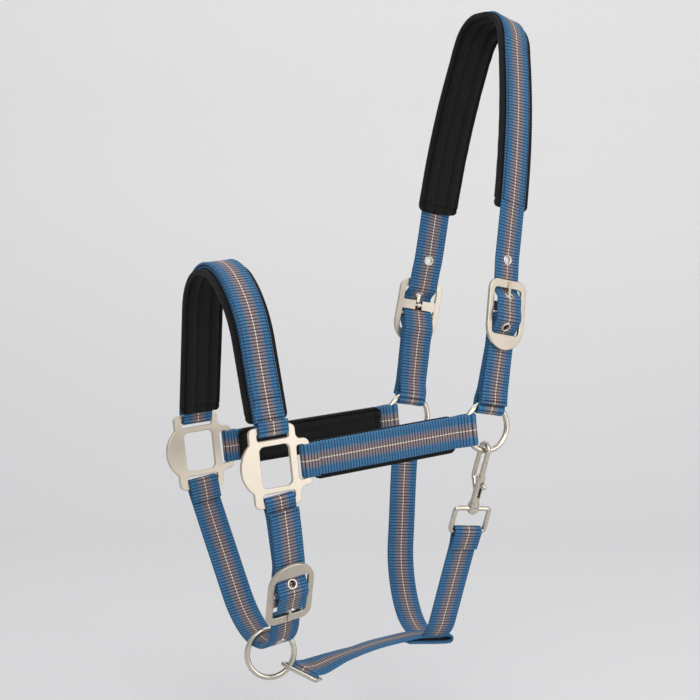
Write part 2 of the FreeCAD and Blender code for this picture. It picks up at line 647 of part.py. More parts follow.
# ---------------------------------------------------------------- chin straps
def make_chin():
    origin = (-size["chin_buckle_out"], -size["chin_buckle_down"])
    lean = 180 - size["chin_buckle_lean"]
    points = [(-75.9, -4.5, 0)] + weave(origin, lean)[:-1]
    points += [(-28.7, -118.2, 38), (29.6, -118.2, 49.2), (73.1, -4.5, 12), (73.1, 5.8, 3.0),
               (66.9, 5.8, 3.0), (66.9, -10, 0)]
    band = ribbon("chin_band", route("chin_web", points), "dims.web_thick", "dims.web_width", CHIN,
                  "-dims.web_thick / 2")
    holes = [eyelet("chin_eye_0", CHIN, along(origin, lean, 2.25, 14.31), 47.1 - lean, "0"),
             eyelet("chin_eye_1", CHIN, along(origin, lean, 1.25, -9.8), -40.6 - lean, "0"),
             eyelet("chin_eye_2", CHIN, chin_arc(38, -28.7, 29.0), 180 + 61.0, "0")]
    punches = join("chin_punches", "Part::MultiFuse", [punch for ring, punch in holes])
    node("chin_strap", join("chin_strap", "Part::Cut", [band, punches]))
    rings = doc.addObject("Part::Compound", "chin_eyelets")
    rings.Links = [ring for ring, punch in holes]
    node("chin_eyelets", rings)

    top = 2.7
    route_points = [(-70, top, 0), along(origin, lean, -6.9, -24) + (20,),
                    along(origin, lean, -6.9, -13) + (6,), along(origin, lean, 0, CHAPE) + (0,)]
    strap = ribbon("chin_chape_band", route("chin_chape", route_points), "dims.double_thick",
                   "dims.web_width", CHIN, "-dims.web_thick")
    pieces = []
    bores = []
    for label, radius, wide, group in (("outer", 4.3, "dims.web_width", pieces), ("inner", 1.9, "40", bores)):
        rod = doc.addObject("Part::Cylinder", "chin_chape_top_" + label)
        rod.Radius = radius
        bind(rod, "Height", wide)
        bind(rod, "Placement", CHIN + " * placement(vector(-%s / 2; -70; %g); rotation(vector(0; 1; 0); 90))"
             % (wide, top))
        legs = box("chin_chape_legs_" + label, ("-%s / 2" % wide, "%g" % (-70 - radius), "-3.6"),
                   (wide, "%g" % (2 * radius), "%g" % (top + 3.6)), CHIN)
        group += [rod, legs]
    turn, bore = chape_loop("chin_chape", CHIN_BUCKLE, size["web_width"])
    solid = join("chin_chape_solid", "Part::MultiFuse", [strap, turn] + pieces)
    hollow = join("chin_chape_hollow", "Part::MultiFuse", [bore] + bores)
    node("chin_buckle_strap", join("chin_buckle_strap", "Part::Cut", [solid, hollow]))


def chin_arc(radius, corner, turn):
    """A place on the near bend of the chin strap, turn degrees on from where the bend begins."""
    entry = radius * math.tan(math.radians(30))
    start = (corner - entry * math.cos(math.radians(60)), -118.2 + entry * math.sin(math.radians(60)))
    centre = (start[0] + radius * math.sin(math.radians(60)), start[1] + radius * math.cos(math.radians(60)))
    angle = math.radians(210 + turn)
    return (centre[0] + radius * math.cos(angle), centre[1] + radius * math.sin(angle))


# ---------------------------------------------------------------- throat strap
def make_throat():
    lean = math.radians(size["snap_lean"])
    bar = V(size["snap_side"] + 20 * math.sin(lean), -size["snap_drop"] - 20 * math.cos(lean), 0)
    heading = math.radians(-72.4)
    down = V(math.cos(heading), math.sin(heading), 0)
    inner = V(-down.y, down.x, 0)
    gap = size["snap_wire"] / 2 + 0.3
    ends = [bar + down * 11 - inner * gap, bar - down * gap - inner * gap, bar - down * gap + inner * gap]
    points = [(ends[0].x, ends[0].y, 0), (ends[1].x, ends[1].y, 2.2), (ends[2].x, ends[2].y, 2.2),
              (-11.5, -177.5, 23), (28.5, -177.5, 44), (59.5, -134, 98), (64.4, -24.5, 0)]
    band = ribbon("throat_band", route("throat_web", points), "-dims.web_thick", "dims.web_width", THROAT)
    fold = ring_fold("throat_fold", THROAT, "dims.ring_span", 90)
    node("throat_strap", join("throat_strap", "Part::MultiFuse", [band, fold]))


# ---------------------------------------------------------------- bolt snap
SNAP = THROAT + (" * placement(vector(0; dims.snap_side; -dims.snap_drop);"
                 " rotation(vector(1; 0; 0); dims.snap_lean))")


def wire(name, drawing, radius, start):
    """Round wire along a route; start is the placement of its section."""
    section = doc.addObject("Part::Circle", name + "_section")
    bind(section, "Radius", radius)
    section.Placement = start
    drawing.recompute(True)
    bar = doc.addObject("Part::Sweep", name)
    bar.Sections = [section]
    bar.Spine = (drawing, ["Edge%d" % (n + 1) for n in range(len(drawing.Shape.Edges))])
    bar.Solid = True
    return bar


def rod(name, radius, low, high):
    bar = doc.addObject("Part::Cylinder", name)
    bind(bar, "Radius", radius)
    bar.Height = high - low
    bar.Placement = FreeCAD.Placement(V(0, 0, low), FreeCAD.Rotation())
    return bar


def make_snap():
    turned = FreeCAD.Rotation(V(0, 1, 0), 90)
    half = 15.5
    corners = [(-half, 0, 3), (half, 0, 3), (half, -20, 3), (-half, -20, 3)]
    loop = route("eye_loop", corners, SIDE, closed=True)
    ring = wire("eye_wire", loop, "dims.snap_wire / 2",
                FreeCAD.Placement(V(-half, 0, -10), FreeCAD.Rotation()))
    boss = rod("eye_boss", "4.6", -2.2, 1.8)
    drill = rod("eye_drill", "2.06", -6, 6)
    solid = join("eye_solid", "Part::MultiFuse", [ring, boss])
    node("snap_eye", bind(join("snap_eye", "Part::Cut", [solid, drill]), "Placement", SNAP))

    stem = rod("rivet_stem", "2", -2.4, 4.8)
    head = doc.addObject("Part::Sphere", "rivet_head_ball")
    head.Radius = 5.2
    head.Placement = FreeCAD.Placement(V(0, 0, 0.2), FreeCAD.Rotation())
    slab = rod("rivet_head_slab", "3.9", -4.8, -2.35)
    cap = join("rivet_cap", "Part::MultiCommon", [head, slab])
    node("swivel_rivet", bind(join("swivel_rivet", "Part::MultiFuse", [stem, cap]), "Placement", SNAP))

    collar = rod("snap_collar", "4.5", 2.0, 5.0)
    barrel = rod("snap_barrel", "3.5", 4.9, 28.0)
    hook_line = route("hook_line", [(3, 15, 0), (11, 24, 5), (11, 53.25, 5.4), (0, 53.25, 5.4), (0, 41.2, 0)])
    slope = FreeCAD.Rotation(V(1, 0, 0), -math.degrees(math.atan2(8, 9)))
    hook = wire("hook_wire", hook_line, "dims.snap_wire / 2", FreeCAD.Placement(V(0, 3, 15), slope))
    solid = join("snap_solid", "Part::MultiFuse", [collar, barrel, hook])
    bore = rod("snap_bore", "2.3", 6.5, 30)
    seat = rod("snap_seat", "2", 1, 4.8)
    slot = box("snap_slot", ("-1.25", "-8", "10.5"), ("2.5", "8", "13.5"), AT_ORIGIN)
    hollow = join("snap_hollow", "Part::MultiFuse", [bore, seat, slot])
    node("snap_hook", bind(join("snap_hook", "Part::Cut", [solid, hollow]), "Placement", SNAP))

    shaft = rod("bolt_shaft", "2.24", 19.2, 40.3)
    stalk = box("bolt_stalk", ("-1.1", "-6.2", "20"), ("2.2", "6.2", "3"), AT_ORIGIN)
    knob = doc.addObject("Part::Sphere", "bolt_knob")
    knob.Radius = 2.4
    knob.Placement = FreeCAD.Placement(V(0, -6.6, 21.5), FreeCAD.Rotation())
    node("snap_bolt", bind(join("snap_bolt", "Part::MultiFuse", [shaft, stalk, knob]), "Placement", SNAP))

    coil = doc.addObject("Part::Helix", "spring_line")
    coil.Pitch = 1.9
    coil.Height = 11.4
    coil.Radius = 1.7
    coil.Placement = FreeCAD.Placement(V(0, 0, 7.1), FreeCAD.Rotation())
    coil.recompute(True)
    section = doc.addObject("Part::Circle", "spring_section")
    section.Radius = 0.35
    section.Placement = FreeCAD.Placement(V(1.7, 0, 7.1), FreeCAD.Rotation(V(1, 0, 0), 90))
    spring = doc.addObject("Part::Sweep", "snap_spring")
    spring.Sections = [section]
    spring.Spine = (coil, ["Edge%d" % (n + 1) for n in range(len(coil.Shape.Edges))])
    spring.Solid = True
    spring.Frenet = True
    node("snap_spring", bind(spring, "Placement", SNAP))


# ---------------------------------------------------------------- jaw link and strap
LINK = ("placement(vector(-dims.link_front; -dims.link_side; -dims.link_low);"
        " rotation(-dims.link_turn; dims.link_pitch; -dims.link_roll))")


def make_jaw():
    loop = route("link_loop", [(15, -6.85, 3.5), (15, 6.85, 3.5), (-15, 6.85, 3.5), (-15, -6.85, 3.5)], FLAT,
                 closed=True)
    start = FreeCAD.Placement(V(0, -6.85, 0), FreeCAD.Rotation(V(0, 1, 0), 90))
    ring = wire("jaw_link", loop, "dims.link_wire / 2", start)
    node("jaw_link", bind(ring, "Placement", LINK))
    turn = FreeCAD.Rotation(-size["link_turn"], size["link_pitch"], -size["link_roll"])
    bar = V(-size["link_front"], -size["link_side"], -size["link_low"]) + turn.multVec(V(0, 6.85, 0))
    along_bar = turn.multVec(V(1, 0, 0))
    away = turn.multVec(V(0, 1, 0))
    stations = [(bar + away * 2.2, along_bar, away)] + JAW_RUN
    sections = []
    for number, (place, wide, ahead) in enumerate(stations):
        drawing = sketch("jaw_section_%d" % number, FLAT)
        wide_half = size["web_width"] / 2
        thick_half = size["web_thick"] / 2
        rectangle(drawing, -wide_half, wide_half, -thick_half, thick_half)
        ahead = V(ahead).normalize()
        across = (V(wide) - ahead * ahead.dot(wide)).normalize()
        turn = FreeCAD.Rotation(across, ahead.cross(across), ahead, "XYZ")
        drawing.Placement = FreeCAD.Placement(place, turn)
        sections.append(drawing)
    band = doc.addObject("Part::Loft", "jaw_band")
    band.Sections = sections
    band.Solid = True
    band.Ruled = True
    ends = []
    for label, radius, long in (("turn", 4.1, size["web_width"]), ("bore", 1.75, 40)):
        tube = doc.addObject("Part::Cylinder", "jaw_" + label)
        tube.Radius = radius
        tube.Height = long
        bind(tube, "Placement", LINK + " * placement(vector(%g; 6.85; 0); rotation(vector(0; 1; 0); 90))"
             % (-long / 2))
        ends.append(tube)
    solid = join("jaw_solid", "Part::MultiFuse", [band, ends[0]])
    node("jaw_strap", join("jaw_strap", "Part::Cut", [solid, ends[1]]))


JAW_RUN = [(V(-117.5, 0.5, -190.2), V(0.45, -0.85, -0.28), V(0.92, 0.33, 0.16)),
           (V(-97, 3, -185.0), V(0.12, -0.98, -0.1), V(0.97, 0.06, 0.22)),
           (V(-62, 4.5, -178.0), V(0, -1, 0), V(0.98, 0, 0.17)),
           (V(-38, 5, -175.2), V(0, -1, 0), V(0.995, 0, -0.03)),
           (V(-27.5, 5, -177.45), V(0, -1, 0), V(0.999, 0, 0.02)),
           (V(-1.2, 5, -179.4), V(0, -1, 0), V(0.997, 0, -0.078))]


# ---------------------------------------------------------------- the whole halter
make_noseband()
make_cheek()
make_plate()
make_rings()
make_buckle_frame("crown_buckle_frame_left", CROWN_BUCKLE)
make_tongue("crown_buckle_tongue_left", CROWN_BUCKLE)
for piece in ("crown_buckle_frame", "crown_buckle_tongue"):
    node(piece + "_right", mirrored(piece + "_right", nodes[piece + "_left"]))
make_buckle_frame("chin_buckle_frame", CHIN_BUCKLE)
make_tongue("chin_buckle_tongue", CHIN_BUCKLE)
make_crown_parts()
make_buckle_straps()
make_chin()
make_throat()
make_snap()
make_jaw()
doc.recompute()

for item in doc.Objects:
    if "Invalid" in item.State or "Error" in item.State:
        raise RuntimeError("%s failed: %s" % (item.Label, item.State))
for name, item in nodes.items():
    if item.Shape.isNull() or not item.Shape.isValid() or not item.Shape.Solids:
        raise RuntimeError(name + " has no valid shape")
os.makedirs(PARTS, exist_ok=True)
for name, item in nodes.items():
    item.Shape.exportStep("%s/%s.step" % (PARTS, name))
print("%d sub-parts written" % len(nodes))
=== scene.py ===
import json
import math

import bmesh
import bpy
from mathutils import Matrix, Vector, noise


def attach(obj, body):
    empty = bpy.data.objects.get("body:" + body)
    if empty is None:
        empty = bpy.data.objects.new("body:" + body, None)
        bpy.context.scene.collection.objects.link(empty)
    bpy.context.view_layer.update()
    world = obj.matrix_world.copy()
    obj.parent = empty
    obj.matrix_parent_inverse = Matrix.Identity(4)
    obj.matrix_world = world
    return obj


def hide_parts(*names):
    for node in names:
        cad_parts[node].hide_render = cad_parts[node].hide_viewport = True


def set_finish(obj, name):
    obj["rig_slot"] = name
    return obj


# Looks of a horse's head collar.  Sizes here are millimetres in each strap loop's own tilted frame,
# as in the CAD source, and become metres when a mesh is made.

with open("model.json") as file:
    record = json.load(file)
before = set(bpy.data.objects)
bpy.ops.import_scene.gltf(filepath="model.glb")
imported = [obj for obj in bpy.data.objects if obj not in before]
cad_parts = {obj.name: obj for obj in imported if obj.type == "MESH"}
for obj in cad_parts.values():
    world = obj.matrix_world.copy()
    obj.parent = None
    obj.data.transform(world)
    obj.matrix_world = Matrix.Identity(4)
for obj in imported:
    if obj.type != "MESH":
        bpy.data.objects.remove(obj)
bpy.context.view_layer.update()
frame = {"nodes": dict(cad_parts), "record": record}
MM = 0.001
BLACK = "neoprene"


def turn(axis, degrees):
    return Matrix.Rotation(math.radians(degrees), 4, axis)


def shift(x, y, z):
    return Matrix.Translation((x, y, z))


# ---------------------------------------------------------------- frames of the strap loops
FRONT = turn("Y", -6.5)
CROWN = turn("Y", 8.3)
THROAT = turn("Y", 4.5)
PLATE_REACH = 188.4
NOSE = FRONT @ shift(-PLATE_REACH, 0, 0)
CHIN = FRONT @ shift(-PLATE_REACH, 0, -28) @ turn("Y", -4.5)
RING_SPAN = 62.0
WEB_WIDTH, WEB_THICK = 25.0, 2.4
PAD_WIDTH, PAD_THICK = 34.0, 5.0
CHEEK_PAD_HALF = 14.6
RIB = 2.45
FLARE = math.tan(math.radians(9.0))
# how far a strap's fold reaches in at a ring, more at its corners, and where that begins
FOLD_REACH, FOLD_CORNER, FOLD_START, FOLD_RUN = 2.6, 0.2, 19.5, 4.6
MIRROR = Matrix.Diagonal((1, -1, 1, 1))
# planes of the drawn routes: drawing x, drawing y and the width direction, in the loop's frame
UPRIGHT = (Vector((0, 1, 0)), Vector((0, 0, 1)), Vector((1, 0, 0)))
LEVEL = (Vector((1, 0, 0)), Vector((0, 1, 0)), Vector((0, 0, 1)))


# ---------------------------------------------------------------- materials
def new_material(name, color, rough, metal=0.0):
    made = bpy.data.materials.new(name)
    made.use_nodes = True
    shader = made.node_tree.nodes["Principled BSDF"]
    shader.inputs["Base Color"].default_value = (*color, 1)
    shader.inputs["Roughness"].default_value = rough
    shader.inputs["Metallic"].default_value = metal
    return made, made.node_tree, shader


def add(tree, kind, **values):
    made = tree.nodes.new(kind)
    for key, value in values.items():
        setattr(made, key, value)
    return made


def math_node(tree, operation, a, b=None, c=None):
    made = tree.nodes.new("ShaderNodeMath")
    made.operation = operation
    for number, value in enumerate((a, b, c)):
        if value is None:
            continue
        if isinstance(value, (int, float)):
            made.inputs[number].default_value = value
        else:
            tree.links.new(value, made.inputs[number])
    return made.outputs[0]


def mix_color(tree, factor, a, b, blend="MIX"):
    made = tree.nodes.new("ShaderNodeMix")
    made.data_type = "RGBA"
    made.blend_type = blend
    for slot, value in ((0, factor), (6, a), (7, b)):
        if isinstance(value, tuple):
            made.inputs[slot].default_value = (*value, 1)
        elif isinstance(value, (int, float)):
            made.inputs[slot].default_value = value
        else:
            tree.links.new(value, made.inputs[slot])
    return made.outputs[2]


def window(tree, value, low, high, soft):
    """1 between low and high, falling to 0 over soft on each side."""
    rise = tree.nodes.new("ShaderNodeMapRange")
    rise.interpolation_type = "SMOOTHSTEP"
    tree.links.new(value, rise.inputs[0])
    rise.inputs[1].default_value, rise.inputs[2].default_value = low - soft, low
    fall = tree.nodes.new("ShaderNodeMapRange")
    fall.interpolation_type = "SMOOTHSTEP"
    tree.links.new(value, fall.inputs[0])
    fall.inputs[1].default_value, fall.inputs[2].default_value = high, high + soft
    return math_node(tree, "MULTIPLY", rise.outputs[0], math_node(tree, "SUBTRACT", 1.0, fall.outputs[0]))


def noise_node(tree, coordinates, scale, detail=3.0):
    made = add(tree, "ShaderNodeTexNoise")
    made.inputs["Scale"].default_value = scale
    made.inputs["Detail"].default_value = detail
    tree.links.new(coordinates, made.inputs["Vector"])
    return made.outputs["Fac"]


def bump(tree, shader, height, strength, distance):
    made = add(tree, "ShaderNodeBump")
    made.inputs["Strength"].default_value = strength
    made.inputs["Distance"].default_value = distance
    tree.links.new(height, made.inputs["Height"])
    tree.links.new(made.outputs[0], shader.inputs["Normal"])


def webbing_material(name):
    """Ribbed nylon: blue, with a brown-grey middle band and a thin broken white line; painted shade darkens
    the valleys between the ribs.
    """
    made, tree, shader = new_material(name, (0.05, 0.2, 0.4), 0.62)
    place = add(tree, "ShaderNodeUVMap", uv_map="weave").outputs[0]
    parts = add(tree, "ShaderNodeSeparateXYZ")
    tree.links.new(place, parts.inputs[0])
    across, along = parts.outputs[0], parts.outputs[1]          # millimetres from the middle; ribs
    from_middle = math_node(tree, "ABSOLUTE", across)
    phase = math_node(tree, "MULTIPLY", along, math.pi)
    rib = math_node(tree, "ABSOLUTE", math_node(tree, "SINE", phase))
    # each warp yarn crosses the ribs; its neighbours are half a rib out of step
    yarn = math_node(tree, "SINE", math_node(tree, "MULTIPLY", across, 2 * math.pi / 0.95))
    twill = math_node(tree, "SINE", math_node(tree, "ADD", math_node(tree, "MULTIPLY", phase, 2.0),
                                             math_node(tree, "MULTIPLY", across, 2 * math.pi / 1.9)))
    coordinates = add(tree, "ShaderNodeTexCoord").outputs["Object"]
    cloudy = noise_node(tree, coordinates, 60.0, 4.0)
    fine = noise_node(tree, coordinates, 2600.0, 2.0)
    light = mix_color(tree, cloudy, (0.026, 0.165, 0.34), (0.050, 0.235, 0.44))
    # painted shade: the valleys between the ribs get a near-black blue, far darker than the cloth on the
    # crests
    painted_valley_shade = (0.004, 0.028, 0.085)
    crest_vs_painted_valley_shade = window(tree, rib, 0.82, 2.0, 0.62)
    tops = mix_color(tree, math_node(tree, "MULTIPLY_ADD", twill, 0.38, 0.34), light, (0.010, 0.062, 0.16))
    blue = mix_color(tree, crest_vs_painted_valley_shade, painted_valley_shade, tops)
    # painted shade: in the brown band the valleys between the ribs get a near-black grey
    brown = mix_color(tree, crest_vs_painted_valley_shade, (0.017, 0.016, 0.027),
                      mix_color(tree, math_node(tree, "MULTIPLY_ADD", yarn, 0.5, 0.5),
                                (0.34, 0.235, 0.205), (0.15, 0.145, 0.175)))
    # the band's outer yarns alternate with blue ones
    edge = math_node(tree, "MULTIPLY", window(tree, from_middle, 3.9, 6.2, 0.5),
                     math_node(tree, "MULTIPLY_ADD", yarn, 0.5, 0.5))
    band = mix_color(tree, edge, brown, blue)
    cloth = mix_color(tree, window(tree, from_middle, -1.0, 5.5, 0.9), blue, band)
    line = math_node(tree, "MULTIPLY", window(tree, from_middle, -1.0, 0.30, 0.14),
                     window(tree, rib, 0.55, 2.0, 0.35))
    cloth = mix_color(tree, line, cloth, (0.80, 0.66, 0.56))
    cloth = mix_color(tree, 0.22, cloth, mix_color(tree, fine, (0.0, 0.0, 0.0), (1.0, 1.0, 1.0)), "OVERLAY")
    tree.links.new(cloth, shader.inputs["Base Color"])
    height = math_node(tree, "ADD", math_node(tree, "MULTIPLY", twill, 0.5),
                       math_node(tree, "MULTIPLY", fine, 0.5))
    bump(tree, shader, height, 0.8, 0.00035)
    shader.inputs["Sheen Weight"].default_value = 0.06
    shader.inputs["Sheen Roughness"].default_value = 0.4
    shader.inputs["Specular IOR Level"].default_value = 0.42
    return made


def neoprene_material():
    """Black cloth-faced neoprene with a fine knit and a faint grey bloom."""
    made, tree, shader = new_material("neoprene", (0.012, 0.012, 0.013), 0.82)
    coordinates = add(tree, "ShaderNodeTexCoord").outputs["Object"]
    knit = noise_node(tree, coordinates, 1800.0, 2.0)
    bloom = noise_node(tree, coordinates, 25.0, 5.0)
    shade = mix_color(tree, bloom, (0.003, 0.003, 0.0032), (0.008, 0.0078, 0.0078))
    shade = mix_color(tree, math_node(tree, "MULTIPLY", knit, 0.3), shade, (0.016, 0.0155, 0.016))
    tree.links.new(shade, shader.inputs["Base Color"])
    bump(tree, shader, knit, 0.5, 0.0002)
    shader.inputs["Sheen Weight"].default_value = 0.04
    shader.inputs["Sheen Roughness"].default_value = 0.5
    shader.inputs["Specular IOR Level"].default_value = 0.2
    return made


def binding_material():
    """Ribbed black edge binding."""
    made, tree, shader = new_material("binding", (0.014, 0.014, 0.015), 0.7)
    coordinates = add(tree, "ShaderNodeTexCoord").outputs["Object"]
    grain = noise_node(tree, coordinates, 900.0, 3.0)
    shade = mix_color(tree, grain, (0.004, 0.004, 0.0045), (0.014, 0.0135, 0.0135))
    tree.links.new(shade, shader.inputs["Base Color"])
    bump(tree, shader, grain, 0.6, 0.0003)
    shader.inputs["Sheen Weight"].default_value = 0.15
    return made


def metal_material(name, color, rough, grain_scale, grain_depth):
    """Satin nickel: soft clouds of polish, a fine cast or drawn grain and darker specks."""
    made, tree, shader = new_material(name, color, rough, 1.0)
    coordinates = add(tree, "ShaderNodeTexCoord").outputs["Object"]
    cloud = noise_node(tree, coordinates, 70.0, 4.0)
    grain = noise_node(tree, coordinates, grain_scale, 4.0)
    darker = tuple(0.80 * c for c in color)
    tone = mix_color(tree, cloud, darker, tuple(min(1.0, 1.08 * c) for c in color))
    speck = window(tree, grain, -1.0, 0.30, 0.06)
    tone = mix_color(tree, math_node(tree, "MULTIPLY", speck, 0.35), tone, tuple(0.45 * c for c in color))
    tree.links.new(tone, shader.inputs["Base Color"])
    rise = math_node(tree, "MULTIPLY_ADD", cloud, 0.16, rough - 0.08)
    tree.links.new(rise, shader.inputs["Roughness"])
    bump(tree, shader, grain, 0.35, grain_depth)
    return made


def thread_material():
    """Blue sewing thread with a twist."""
    made, tree, shader = new_material("thread", (0.02, 0.09, 0.2), 0.5)
    coordinates = add(tree, "ShaderNodeTexCoord").outputs["Object"]
    twist = noise_node(tree, coordinates, 2200.0, 2.0)
    shade = mix_color(tree, twist, (0.001, 0.006, 0.02), (0.004, 0.02, 0.055))
    tree.links.new(shade, shader.inputs["Base Color"])
    bump(tree, shader, twist, 0.6, 0.0002)
    return made


WEBBING = webbing_material("webbing")
NEOPRENE = neoprene_material()
BINDING = binding_material()
CAST = metal_material("cast_nickel", (0.64, 0.57, 0.475), 0.38, 900.0, 0.00012)
WIRE = metal_material("wire_nickel", (0.64, 0.59, 0.50), 0.27, 500.0, 0.00008)
EYELET = metal_material("eyelet_nickel", (0.66, 0.62, 0.55), 0.3, 700.0, 0.00006)
SPRING = metal_material("spring_steel", (0.45, 0.45, 0.46), 0.35, 900.0, 0.00005)
THREAD = thread_material()


# ---------------------------------------------------------------- routes
def elements(points):
    """Lines and tangent arcs through corners (x, y, radius): (kind, data, length) each."""
    places = [Vector((p[0], p[1])) for p in points]
    runs = [(b - a).normalized() for a, b in zip(places, places[1:])]
    cuts, turns = [0.0], [0.0]
    for corner, before, after in zip(points[1:-1], runs, runs[1:]):
        angle = math.atan2(before.x * after.y - before.y * after.x, before.dot(after))
        turns.append(angle)
        cuts.append(corner[2] * math.tan(abs(angle) / 2))
    cuts.append(0.0)
    found = []
    for number, run in enumerate(runs):
        a = places[number] + run * cuts[number]
        b = places[number + 1] - run * cuts[number + 1]
        found.append(("line", (a, b), (b - a).length))
        if number + 1 < len(runs):
            angle, radius = turns[number + 1], points[number + 1][2]
            side = math.copysign(1, angle)
            centre = b + Vector((-run.y, run.x)) * radius * side
            found.append(("arc", (centre, b - centre, angle), abs(angle) * radius))
    return found


def at(element, share):
    """Place and heading at a share of one element."""
    kind, data, length = element
    if kind == "line":
        a, b = data
        return a.lerp(b, share), (b - a).normalized() if length > 1e-9 else Vector((1, 0))
    centre, arm, angle = data
    spin = Matrix.Rotation(angle * share, 2)
    moved = spin @ arm
    ahead = Vector((-moved.y, moved.x)) * math.copysign(1, angle)
    return centre + moved, ahead.normalized()


def stations(points, shifts=None, half=WEB_WIDTH / 2, plane=UPRIGHT, lift=0.0, step=RIB / 6):
    """Rows along a strap: distance, middle, half-width vector and outward direction, in the loop's frame."""
    shifts = shifts or [(0, 0)] * len(points)
    middle = elements(points)
    sides = []
    for sign in (1, -1):
        moved = [(p[0] + sign * d[0], p[1] + sign * d[1]) + tuple(p[2:]) for p, d in zip(points, shifts)]
        sides.append(elements(moved))
    rows = []
    total = sum(e[2] for e in middle)
    count = max(2, int(round(total / step)))
    ends = []
    reached = 0.0
    for e in middle:
        ends.append((reached, reached + e[2]))
        reached += e[2]
    number = 0
    for row in range(count + 1):
        s = total * row / count
        while number + 1 < len(middle) and s > ends[number][1]:
            number += 1
        low, high = ends[number]
        share = 0.0 if high - low < 1e-9 else min(1.0, (s - low) / (high - low))
        flat = []
        for side in sides:
            place, ahead = at(side[number], share)
            out = Vector((-ahead.y, ahead.x))
            place = place - out * lift
            flat.append(plane[0] * place.x + plane[1] * place.y)
        ahead = at(middle[number], share)[1]
        out = Vector((-ahead.y, ahead.x))
        left, right = flat[0] - plane[2] * half, flat[1] + plane[2] * half
        rows.append((s, (left + right) / 2, (right - left) / 2, plane[0] * out.x + plane[1] * out.y))
    return rows


# ---------------------------------------------------------------- meshes
def mesh_object(name, verts, faces, material, frame_matrix=None, uvs=None):
    """A mesh from millimetres in a loop's frame, in metres in the object's frame."""
    whole = Matrix.Diagonal((MM, MM, MM, 1)) @ (frame_matrix or Matrix.Identity(4))
    data = bpy.data.meshes.new(name)
    data.from_pydata([whole @ Vector(v) for v in verts], [], faces)
    if uvs:
        layer = data.uv_layers.new(name="weave")
        for loop in data.loops:
            layer.data[loop.index].uv = uvs[loop.vertex_index]
    if whole.determinant() < 0:
        data.flip_normals()
    data.materials.append(material)
    for polygon in data.polygons:
        polygon.use_smooth = True
    made = bpy.data.objects.new(name, data)
    bpy.context.scene.collection.objects.link(made)
    return made


def grid_faces(rows, columns):
    """Quads of a tube of rows, each a ring of columns, with open ends."""
    faces = []
    for row in range(rows - 1):
        for column in range(columns):
            after = (column + 1) % columns
            faces.append((row * columns + column, row * columns + after,
                          (row + 1) * columns + after, (row + 1) * columns + column))
    return faces


def band_section():
    """Round a webbing's outline: (share of half width, side: 1, 0 at the selvedge or -1) each."""
    across = [-0.97, -0.9, -0.75, -0.55, -0.36, -0.18, 0.0, 0.18, 0.36, 0.55, 0.75, 0.9, 0.97]
    return [(a, 1) for a in across] + [(1.0, 0)] + [(a, -1) for a in reversed(across)] + [(-1.0, 0)]


def webbing(name, rows, frame_matrix, pull=None, wobble=0.25, seed=0.0, hump=None):
    """Ribbed webbing along rows: two ribbed faces and a rounded, slightly scalloped selvedge."""
    ring = band_section()
    verts, uvs = [], []
    last = rows[-1][0]
    for s, middle, arm, out in rows:
        phase = math.pi * s / RIB
        rib = abs(math.sin(phase))
        end = min(1.0, 0.35 + min(s, last - s) / 0.9)
        width = arm.length
        sway = wobble * noise.noise(Vector((s / 38.0, seed, 3.0)))
        raised = hump(s) if hump else 0.0
        for share, side in ring:
            near = 1 - max(0.0, abs(share) - 0.9) / 0.1
            level = WEB_THICK / 2 * (0.63 + 0.37 * rib) * side * end
            if abs(share) > 0.94:
                level *= 0.62
            spread = share * (1 - 0.012 * (1 - rib) * (1 - near)) if abs(share) > 0.8 else share
            place = middle + arm * spread + out * (level + raised)
            place += arm.normalized() * sway
            if pull:
                place = pull(place, share * width)
            verts.append(place)
            uvs.append((share * WEB_WIDTH / 2, s / RIB))
    columns = len(ring)
    faces = grid_faces(len(rows), columns)
    half = columns // 2 - 1
    for base, flip in ((0, False), ((len(rows) - 1) * columns, True)):
        for column in range(half):
            a, b = base + column, base + column + 1
            c, d = base + columns - 3 - column, base + columns - 2 - column
            faces.append((a, b, c, d) if flip else (d, c, b, a))
        tip = (base + half, base + half + 1, base + half + 2)
        heel = (base + columns - 2, base + columns - 1, base)
        for three in (tip, heel):
            faces.append(three if flip else three[::-1])
    return mesh_object(name, verts, faces, WEBBING, frame_matrix, uvs)


def punch(made, spots, radius=3.3, reach=2.6):
    """Round holes through a strap, one on the axis of each spot."""
    work = bmesh.new()
    whole = Matrix.Diagonal((MM, MM, MM, 1))
    for spot in spots:
        bmesh.ops.create_cone(work, cap_ends=True, segments=28, radius1=radius, radius2=radius,
                              depth=2 * reach, matrix=whole @ spot)
    bmesh.ops.recalc_face_normals(work, faces=work.faces)
    data = bpy.data.meshes.new("punch")
    work.to_mesh(data)
    work.free()
    cutter = bpy.data.objects.new("punch", data)
    bpy.context.scene.collection.objects.link(cutter)
    cut = made.modifiers.new("punch", "BOOLEAN")
    cut.operation = "DIFFERENCE"
    cut.solver = "EXACT"
    cut.object = cutter
    bpy.context.view_layer.update()
    shown = made.evaluated_get(bpy.context.evaluated_depsgraph_get())
    made.modifiers.clear()
    made.data = bpy.data.meshes.new_from_object(shown)
    bpy.data.objects.remove(cutter)


def ring_pull(toward):
    """A fold that reaches in toward a ring's centre where it lies across the ring's curve."""
    def pull(place, lateral):
        depth = -(place.dot(toward))
        reach = FOLD_REACH + FOLD_CORNER * (lateral / 12.5) ** 2
        share = min(1.0, max(0.0, (FOLD_START - depth) / FOLD_RUN))
        share = share * share * (3 - 2 * share)
        return place + toward * reach * share
    return pull


